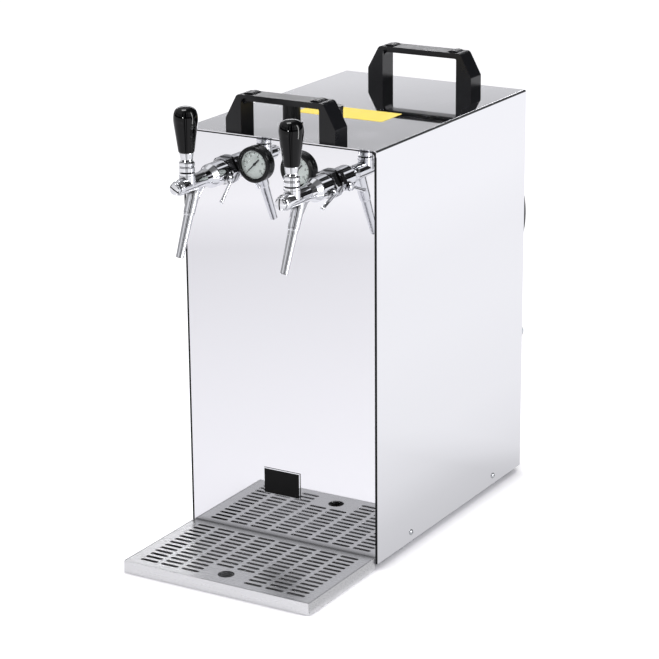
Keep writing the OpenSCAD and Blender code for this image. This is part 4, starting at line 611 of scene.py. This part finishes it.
dialLow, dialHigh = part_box("gauge_dials")
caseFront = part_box("gauge_cases")[0][1]
dialRadius = (dialHigh[2] - dialLow[2]) / 2
for side, sign in (("left", -1), ("right", 1)):
    centre = Vector((sign * (dialHigh[0] - dialRadius), 0, middle("gauge_dials").z))
    dialMarks(dialScale, side, centre, dialLow[1])
    bezelRing(bezel, side, centre, caseFront)
    needleBlade(blade, side, centre)
print("gauges dressed")

# I and O printed on the tilted face of the mains rocker
rockerPrint = dict(tilt=10, face=4.0 * mm, fromMiddle=5.4 * mm, barHeight=5 * mm, ringRadius=2.4 * mm,
                   line=1.1 * mm, thick=0.06 * mm, facets=32)


def rockerMarks(s):
    tilt = math.radians(s["tilt"])
    normal = Vector((0, math.cos(tilt), math.sin(tilt)))
    up = Vector((0, -math.sin(tilt), math.cos(tilt)))
    face = middle("mains_rocker") + normal * (s["face"] + airGap)
    bm = bmesh.new()
    roundedPlate(bm, s["line"], s["barHeight"], s["thick"], s["line"] * markCorner,
                 facing(face + up * s["fromMiddle"], normal, up), steps=2)
    inside = s["ringRadius"] - s["line"] / 2
    outside = s["ringRadius"] + s["line"] / 2
    turned(bm, [(inside, 0), (outside, 0), (outside, s["thick"]), (inside, s["thick"])],
           facing(face - up * s["fromMiddle"], normal, up), s["facets"], closed=True)
    addMesh("rocker_marks", bm, whiteInk, "rocker")


rockerMarks(rockerPrint)

# Ticks and numbers round the thermostat knob, which run the other way, as they are read from behind
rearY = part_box("rear_panel")[1][1] + airGap
coldScale = dict(start=-135, sweep=270, ticks=7, radius=23.5 * mm, length=3 * mm, width=0.8 * mm,
                 thick=0.06 * mm, numberRadius=29 * mm, numberSize=6 * mm)


def coldMarks(s):
    knob = middle("thermostat_knob")
    bm = bmesh.new()
    for i in range(s["ticks"]):
        angle = scaleAngle(s, i, s["ticks"] - 1)
        out = Vector((-math.cos(angle), 0, math.sin(angle)))
        place = Vector((knob.x, rearY, knob.z)) + out * s["radius"]
        turn = facing(place, backwards, upwards) @ Matrix.Rotation(angle, 4, "Z")
        roundedPlate(bm, s["length"], s["width"], s["thick"], s["width"] * markCorner, turn, steps=1)
        place += out * (s["numberRadius"] - s["radius"]) + Vector((0, s["thick"] / 2, 0))
        addText("cold_number_%d" % (i + 1), str(i + 1), s["numberSize"], s["thick"],
                facing(place, backwards, upwards), ink)
    addMesh("cold_ticks", bm, ink, "cabinet")


coldMarks(coldScale)

# Plated contacts: a thin skin over the three pins of the mains inlet, the middle one higher
pins = dict(gap=7 * mm, width=2 * mm, height=4 * mm, length=12 * mm, depth=16 * mm, skin=0.04 * mm,
            corner=0.3 * mm)


def inletContacts(s):
    inlet = middle("mains_inlet")
    bm = bmesh.new()
    for i in (-1, 0, 1):
        rise = (1 if i == 0 else -1) * s["height"] / 2
        place = (inlet.x + i * s["gap"], rearY - s["depth"], inlet.z + rise)
        roundedPlate(bm, s["width"] + 2 * s["skin"], s["height"] + 2 * s["skin"], s["length"] + s["skin"],
                     s["corner"], facing(place, backwards, upwards), steps=3)
    addMesh("inlet_contacts", bm, contact, "cabinet")


inletContacts(pins)
print("rear trim made")

# Light: a softbox overhead, a small spot in front as high as the taps and an upright strip on the right
lamps = (
    dict(name="top softbox", place=(-0.45, -0.25, 2.6), target=(0, 0, 0.3), size=0.85, sizeY=0.85,
         power=26),
    dict(name="front spot", place=(0.276, -2.63, 0.72), target=(0, -0.24, 0.6), size=0.12, sizeY=0.12,
         power=8, shape="DISK"),
    dict(name="right strip", place=(1.2, -0.03, 0.78), target=(0.05, -0.25, 0.6), size=0.16, sizeY=1.45,
         power=11),
)


def areaLight(name, place, target, size, sizeY, power, shape="RECTANGLE"):
    data = bpy.data.lights.new(name, "AREA")
    data.shape = shape
    data.size = size
    data.size_y = sizeY
    data.energy = power
    lamp = bpy.data.objects.new(name, data)
    aim = (Vector(target) - Vector(place)).to_track_quat("-Z", "Y")
    lamp.matrix_world = Matrix.Translation(place) @ aim.to_matrix().to_4x4()
    scene.collection.objects.link(lamp)


for lamp in lamps:
    areaLight(**lamp)

# The room that the metal mirrors. Its rings give brightness by azimuth in degrees: 0 is ahead, off the
# front right corner of the cabinet, and positive is to the right of that. A white screen stands on the
# right with dark beyond it, the left is grey with narrow dark frames, and ahead is a doorway with bright
# slits, which streaks the chrome black and white. Heights are the sine of a direction's rise, up to 1
roomAhead = (0.509, -0.861, 0)
roomRight = (0.861, 0.509, 0)
room = dict(
    doorway={-27: 0.03, -18: 0.03, -16: 1.1, -9: 1.1, -7: 0.03, 13: 0.03, 15: 1.1, 21: 1.1, 23: 0.04,
             27: 0.04},
    low={-180: 0.82, -120: 0.7, -103: 0.7, -101: 0.08, -96: 0.08, -94: 0.7, -55: 0.7, -53: 0.06, -49: 0.06,
         -47: 0.8, -33: 0.8, 32: 1.0, 84: 1.0, 90: 0.12, 160: 0.1, 173: 0.7, 180: 0.82},
    high={-180: 0.45, -120: 0.6, -60: 0.9, -33: 0.8, 32: 1.0, 80: 1.0, 95: 0.08, 165: 0.08, 175: 0.45,
          180: 0.45},
    top={-180: 1.0, -150: 0.9, -60: 0.8, -20: 0.3, 0: 0.15, 30: 0.35, 90: 0.2, 150: 0.15, 180: 1.0},
    skirting=(0.09, 0.12), skirtingLevel=0.1, fading=(0.2, 0.222), fadedLevel=0.65,
    lowToHigh=(0.37, 0.42), highToTop=(0.66, 0.78),
    rearFrom=(-0.86, -0.9), rearFoot=(0.235, 0.25), rearHead=(0.31, 0.29), rearPower=6.0,
    tint="#F8F8FB", softLevel=0.5,
)


def turnShare(tree, ahead, right):
    # azimuth of a direction as a share of a full turn, a half being straight ahead
    azimuth = addNode(tree, "Math", {0: right, 1: ahead}, operation="ARCTAN2")
    return addNode(tree, "MapRange", {"Value": azimuth, 1: -math.pi, 2: math.pi, 3: 0, 4: 1})


def turnStops(levels):
    return {degrees / 360 + 0.5: level for degrees, level in levels.items()}


def makeRoom(s):
    world = bpy.data.worlds.new("studio")
    scene.world = world
    world.use_nodes = True
    tree = world.node_tree
    tree.nodes.clear()
    ray = addNode(tree, "LightPath").outputs
    direction = addNode(tree, "TexCoord").outputs["Generated"]
    height = addNode(tree, "SeparateXYZ", {"Vector": direction}).outputs["Z"]
    ahead, right = (
        addNode(tree, "VectorMath", {0: direction, 1: axis}, operation="DOT_PRODUCT").outputs["Value"]
        for axis in (roomAhead, roomRight)
    )
    turn = turnShare(tree, ahead, right)
    lowRing, highRing, topRing = (
        addNode(tree, "ValToRGB", {0: turn}, stops=turnStops(levels))
        for levels in ({**s["low"], **s["doorway"]}, {**s["high"], **s["doorway"]}, s["top"])
    )

    # the low wall has a dark skirting, and is a little darker again higher up
    low, high = s["skirting"]
    skirting = addNode(tree, "MapRange", {"Value": height, 1: low, 2: high, 3: s["skirtingLevel"], 4: 1.0})
    low, high = s["fading"]
    fading = addNode(tree, "MapRange", {"Value": height, 1: low, 2: high, 3: 1.0, 4: s["fadedLevel"]})
    lowLevel = addNode(tree, "Math", {0: skirting, 1: fading}, operation="MULTIPLY")
    lowWall = addNode(tree, "Math", {0: lowRing, 1: lowLevel}, operation="MULTIPLY")
    inHigh, inTop, aboveFoot, belowHead = (
        addNode(tree, "MapRange", {"Value": height, 1: s[key][0], 2: s[key][1]})
        for key in ("lowToHigh", "highToTop", "rearFoot", "rearHead")
    )
    walls = addNode(tree, "Mix", {0: inHigh, 2: lowWall, 3: highRing})
    withCeiling = addNode(tree, "Mix", {0: inTop, 2: walls, 3: topRing})

    # a soft light low behind the cabinet, which shines on the upper faces of the satin handles
    low, high = s["rearFrom"]
    behind = addNode(tree, "MapRange", {"Value": ahead, 1: low, 2: high})
    band = addNode(tree, "Math", {0: aboveFoot, 1: belowHead}, operation="MULTIPLY")
    rearBox = addNode(tree, "Math", {0: band, 1: behind}, operation="MULTIPLY")
    rearLight = addNode(tree, "Math", {0: rearBox, 1: s["rearPower"]}, operation="MULTIPLY")
    level = addNode(tree, "Math", {0: withCeiling, 1: rearLight}, operation="ADD")

    # metal mirrors the room, every other surface gets an even light, and the camera sees white
    roomLight = addNode(tree, "Background", {"Color": linear(s["tint"]), "Strength": level})
    softLight = addNode(tree, "Background", {"Color": linear("#FFFFFF"), "Strength": s["softLevel"]})
    white = addNode(tree, "Background", {"Color": linear("#FFFFFF"), "Strength": 1.0})
    mirrored = addNode(tree, "MixShader", {0: ray["Is Glossy Ray"], 1: softLight, 2: roomLight})
    seen = addNode(tree, "MixShader", {0: ray["Is Camera Ray"], 1: mirrored, 2: white})
    addNode(tree, "OutputWorld", {"Surface": seen})


makeRoom(room)

# Pale matt floor, white to the camera but for the shadow at the foot. Mirrors see it with a soft shadow on
# the right of the cabinet, in tones by metres from its side, and with the doorway's dark stripes in front,
# in degrees as seen from the taps
paleFloor = dict(
    halfSize=15, drop=0.0002, colour="#EBEAEE", footShadow=60 * mm, cameraGlow=0.62,
    farFrom=1.7, farTo=2.1, nearGlow=0.16, farGlow=0.4,
    cabinetSide=0.154, behindFrom=0.27, behindTo=0.4, behindShift=0.1, sideTint="#FAFAFD",
    sideTones={0: 0.68, 0.06: 0.74, 0.13: 0.86, 0.21: 0.94, 0.3: 0.99, 0.54: 1.03, 0.77: 1.03, 1: 1.08},
    stripes={-180: 0, -15: 0, -13: 1, -6: 1, -4: 0, 5: 0, 7: 1, 12: 1, 14: 0, 180: 0},
    stripeLevel=0.02, stripesFrom=0.62, stripesTo=0.87, tapsAhead=0.24, tapsRight=-0.14,
)


def floorMaterial(s):
    material = bpy.data.materials.new("pale floor")
    material.use_nodes = True
    tree = material.node_tree
    tree.nodes.clear()
    ray = addNode(tree, "LightPath").outputs
    place = addNode(tree, "TexCoord").outputs["Object"]
    axes = addNode(tree, "SeparateXYZ", {"Vector": place}).outputs

    # the floor glows to the camera away from the foot's shadow, and to mirrors more with the distance
    matt = addNode(tree, "BsdfDiffuse", {"Color": linear(s["colour"])})
    nearby = addNode(tree, "AmbientOcclusion", {"Distance": s["footShadow"]}, samples=8)
    glow = addNode(tree, "MapRange", {"Value": nearby.outputs["AO"], 1: 0.45, 2: 0.9,
                                      3: 0.0, 4: s["cameraGlow"]})
    cameraGlow = addNode(tree, "Math", {0: glow, 1: ray["Is Camera Ray"]}, operation="MULTIPLY")
    distance = addNode(tree, "VectorMath", {0: place}, operation="LENGTH").outputs["Value"]
    farGlow = addNode(tree, "MapRange", {"Value": distance, 1: s["farFrom"], 2: s["farTo"],
                                         3: s["nearGlow"], 4: s["farGlow"]})
    mirrorGlow = addNode(tree, "Math", {0: ray["Is Glossy Ray"], 1: farGlow}, operation="MULTIPLY")
    strength = addNode(tree, "Math", {0: cameraGlow, 1: mirrorGlow}, operation="ADD")
    light = addNode(tree, "Emission", {"Color": linear("#FFFFFF"), "Strength": strength})
    bright = addNode(tree, "AddShader", {0: matt, 1: light})

    # soft shadow on the right of the cabinet, weaker towards the rear
    fromSide = addNode(tree, "Math", {0: axes["X"], 1: s["cabinetSide"]}, operation="SUBTRACT")
    behind = addNode(tree, "MapRange", {"Value": axes["Y"], 1: s["behindFrom"], 2: s["behindTo"],
                                        3: 0, 4: s["behindShift"]})
    outOfShade = addNode(tree, "Math", {0: fromSide, 1: behind}, operation="ADD")
    tones = addNode(tree, "ValToRGB", {0: outOfShade}, stops=s["sideTones"])
    shaded = addNode(tree, "Emission", {"Color": linear(s["sideTint"]), "Strength": tones})
    onRight = addNode(tree, "Math", {0: fromSide, 1: 0}, operation="GREATER_THAN")
    inMirror = addNode(tree, "Math", {0: onRight, 1: ray["Is Glossy Ray"]}, operation="MULTIPLY")
    lit = addNode(tree, "MixShader", {0: inMirror, 1: bright, 2: shaded})

    # dark stripes that run away from the taps, from some way ahead of the cabinet
    ahead, right = (
        addNode(tree, "VectorMath", {0: place, 1: axis}, operation="DOT_PRODUCT").outputs["Value"]
        for axis in (roomAhead, roomRight)
    )
    fromTaps = addNode(tree, "Math", {0: ahead, 1: s["tapsAhead"]}, operation="SUBTRACT")
    besideTaps = addNode(tree, "Math", {0: right, 1: s["tapsRight"]}, operation="SUBTRACT")
    turn = turnShare(tree, fromTaps, besideTaps)
    stripes = addNode(tree, "ValToRGB", {0: turn}, stops=turnStops(s["stripes"]))
    start = addNode(tree, "MapRange", {"Value": ahead, 1: s["stripesFrom"], 2: s["stripesTo"]})
    mask = addNode(tree, "Math", {0: stripes, 1: start}, operation="MULTIPLY")
    striped = addNode(tree, "Math", {0: mask, 1: ray["Is Glossy Ray"]}, operation="MULTIPLY")
    dark = addNode(tree, "Emission", {"Color": linear("#FFFFFF"), "Strength": s["stripeLevel"]})
    both = addNode(tree, "MixShader", {0: striped, 1: lit, 2: dark})
    addNode(tree, "OutputMaterial", {"Surface": both})
    return material


def makeFloor(s):
    size = s["halfSize"]
    bm = bmesh.new()
    corners = [(-size, -size), (size, -size), (size, size), (-size, size)]
    bm.faces.new([bm.verts.new((x, y, -s["drop"])) for x, y in corners])
    mesh = bpy.data.meshes.new("floor")
    bm.to_mesh(mesh)
    bm.free()
    mesh.materials.append(floorMaterial(s))
    floor = bpy.data.objects.new("floor", mesh)
    scene.collection.objects.link(floor)


makeFloor(paleFloor)
print("light and floor made")
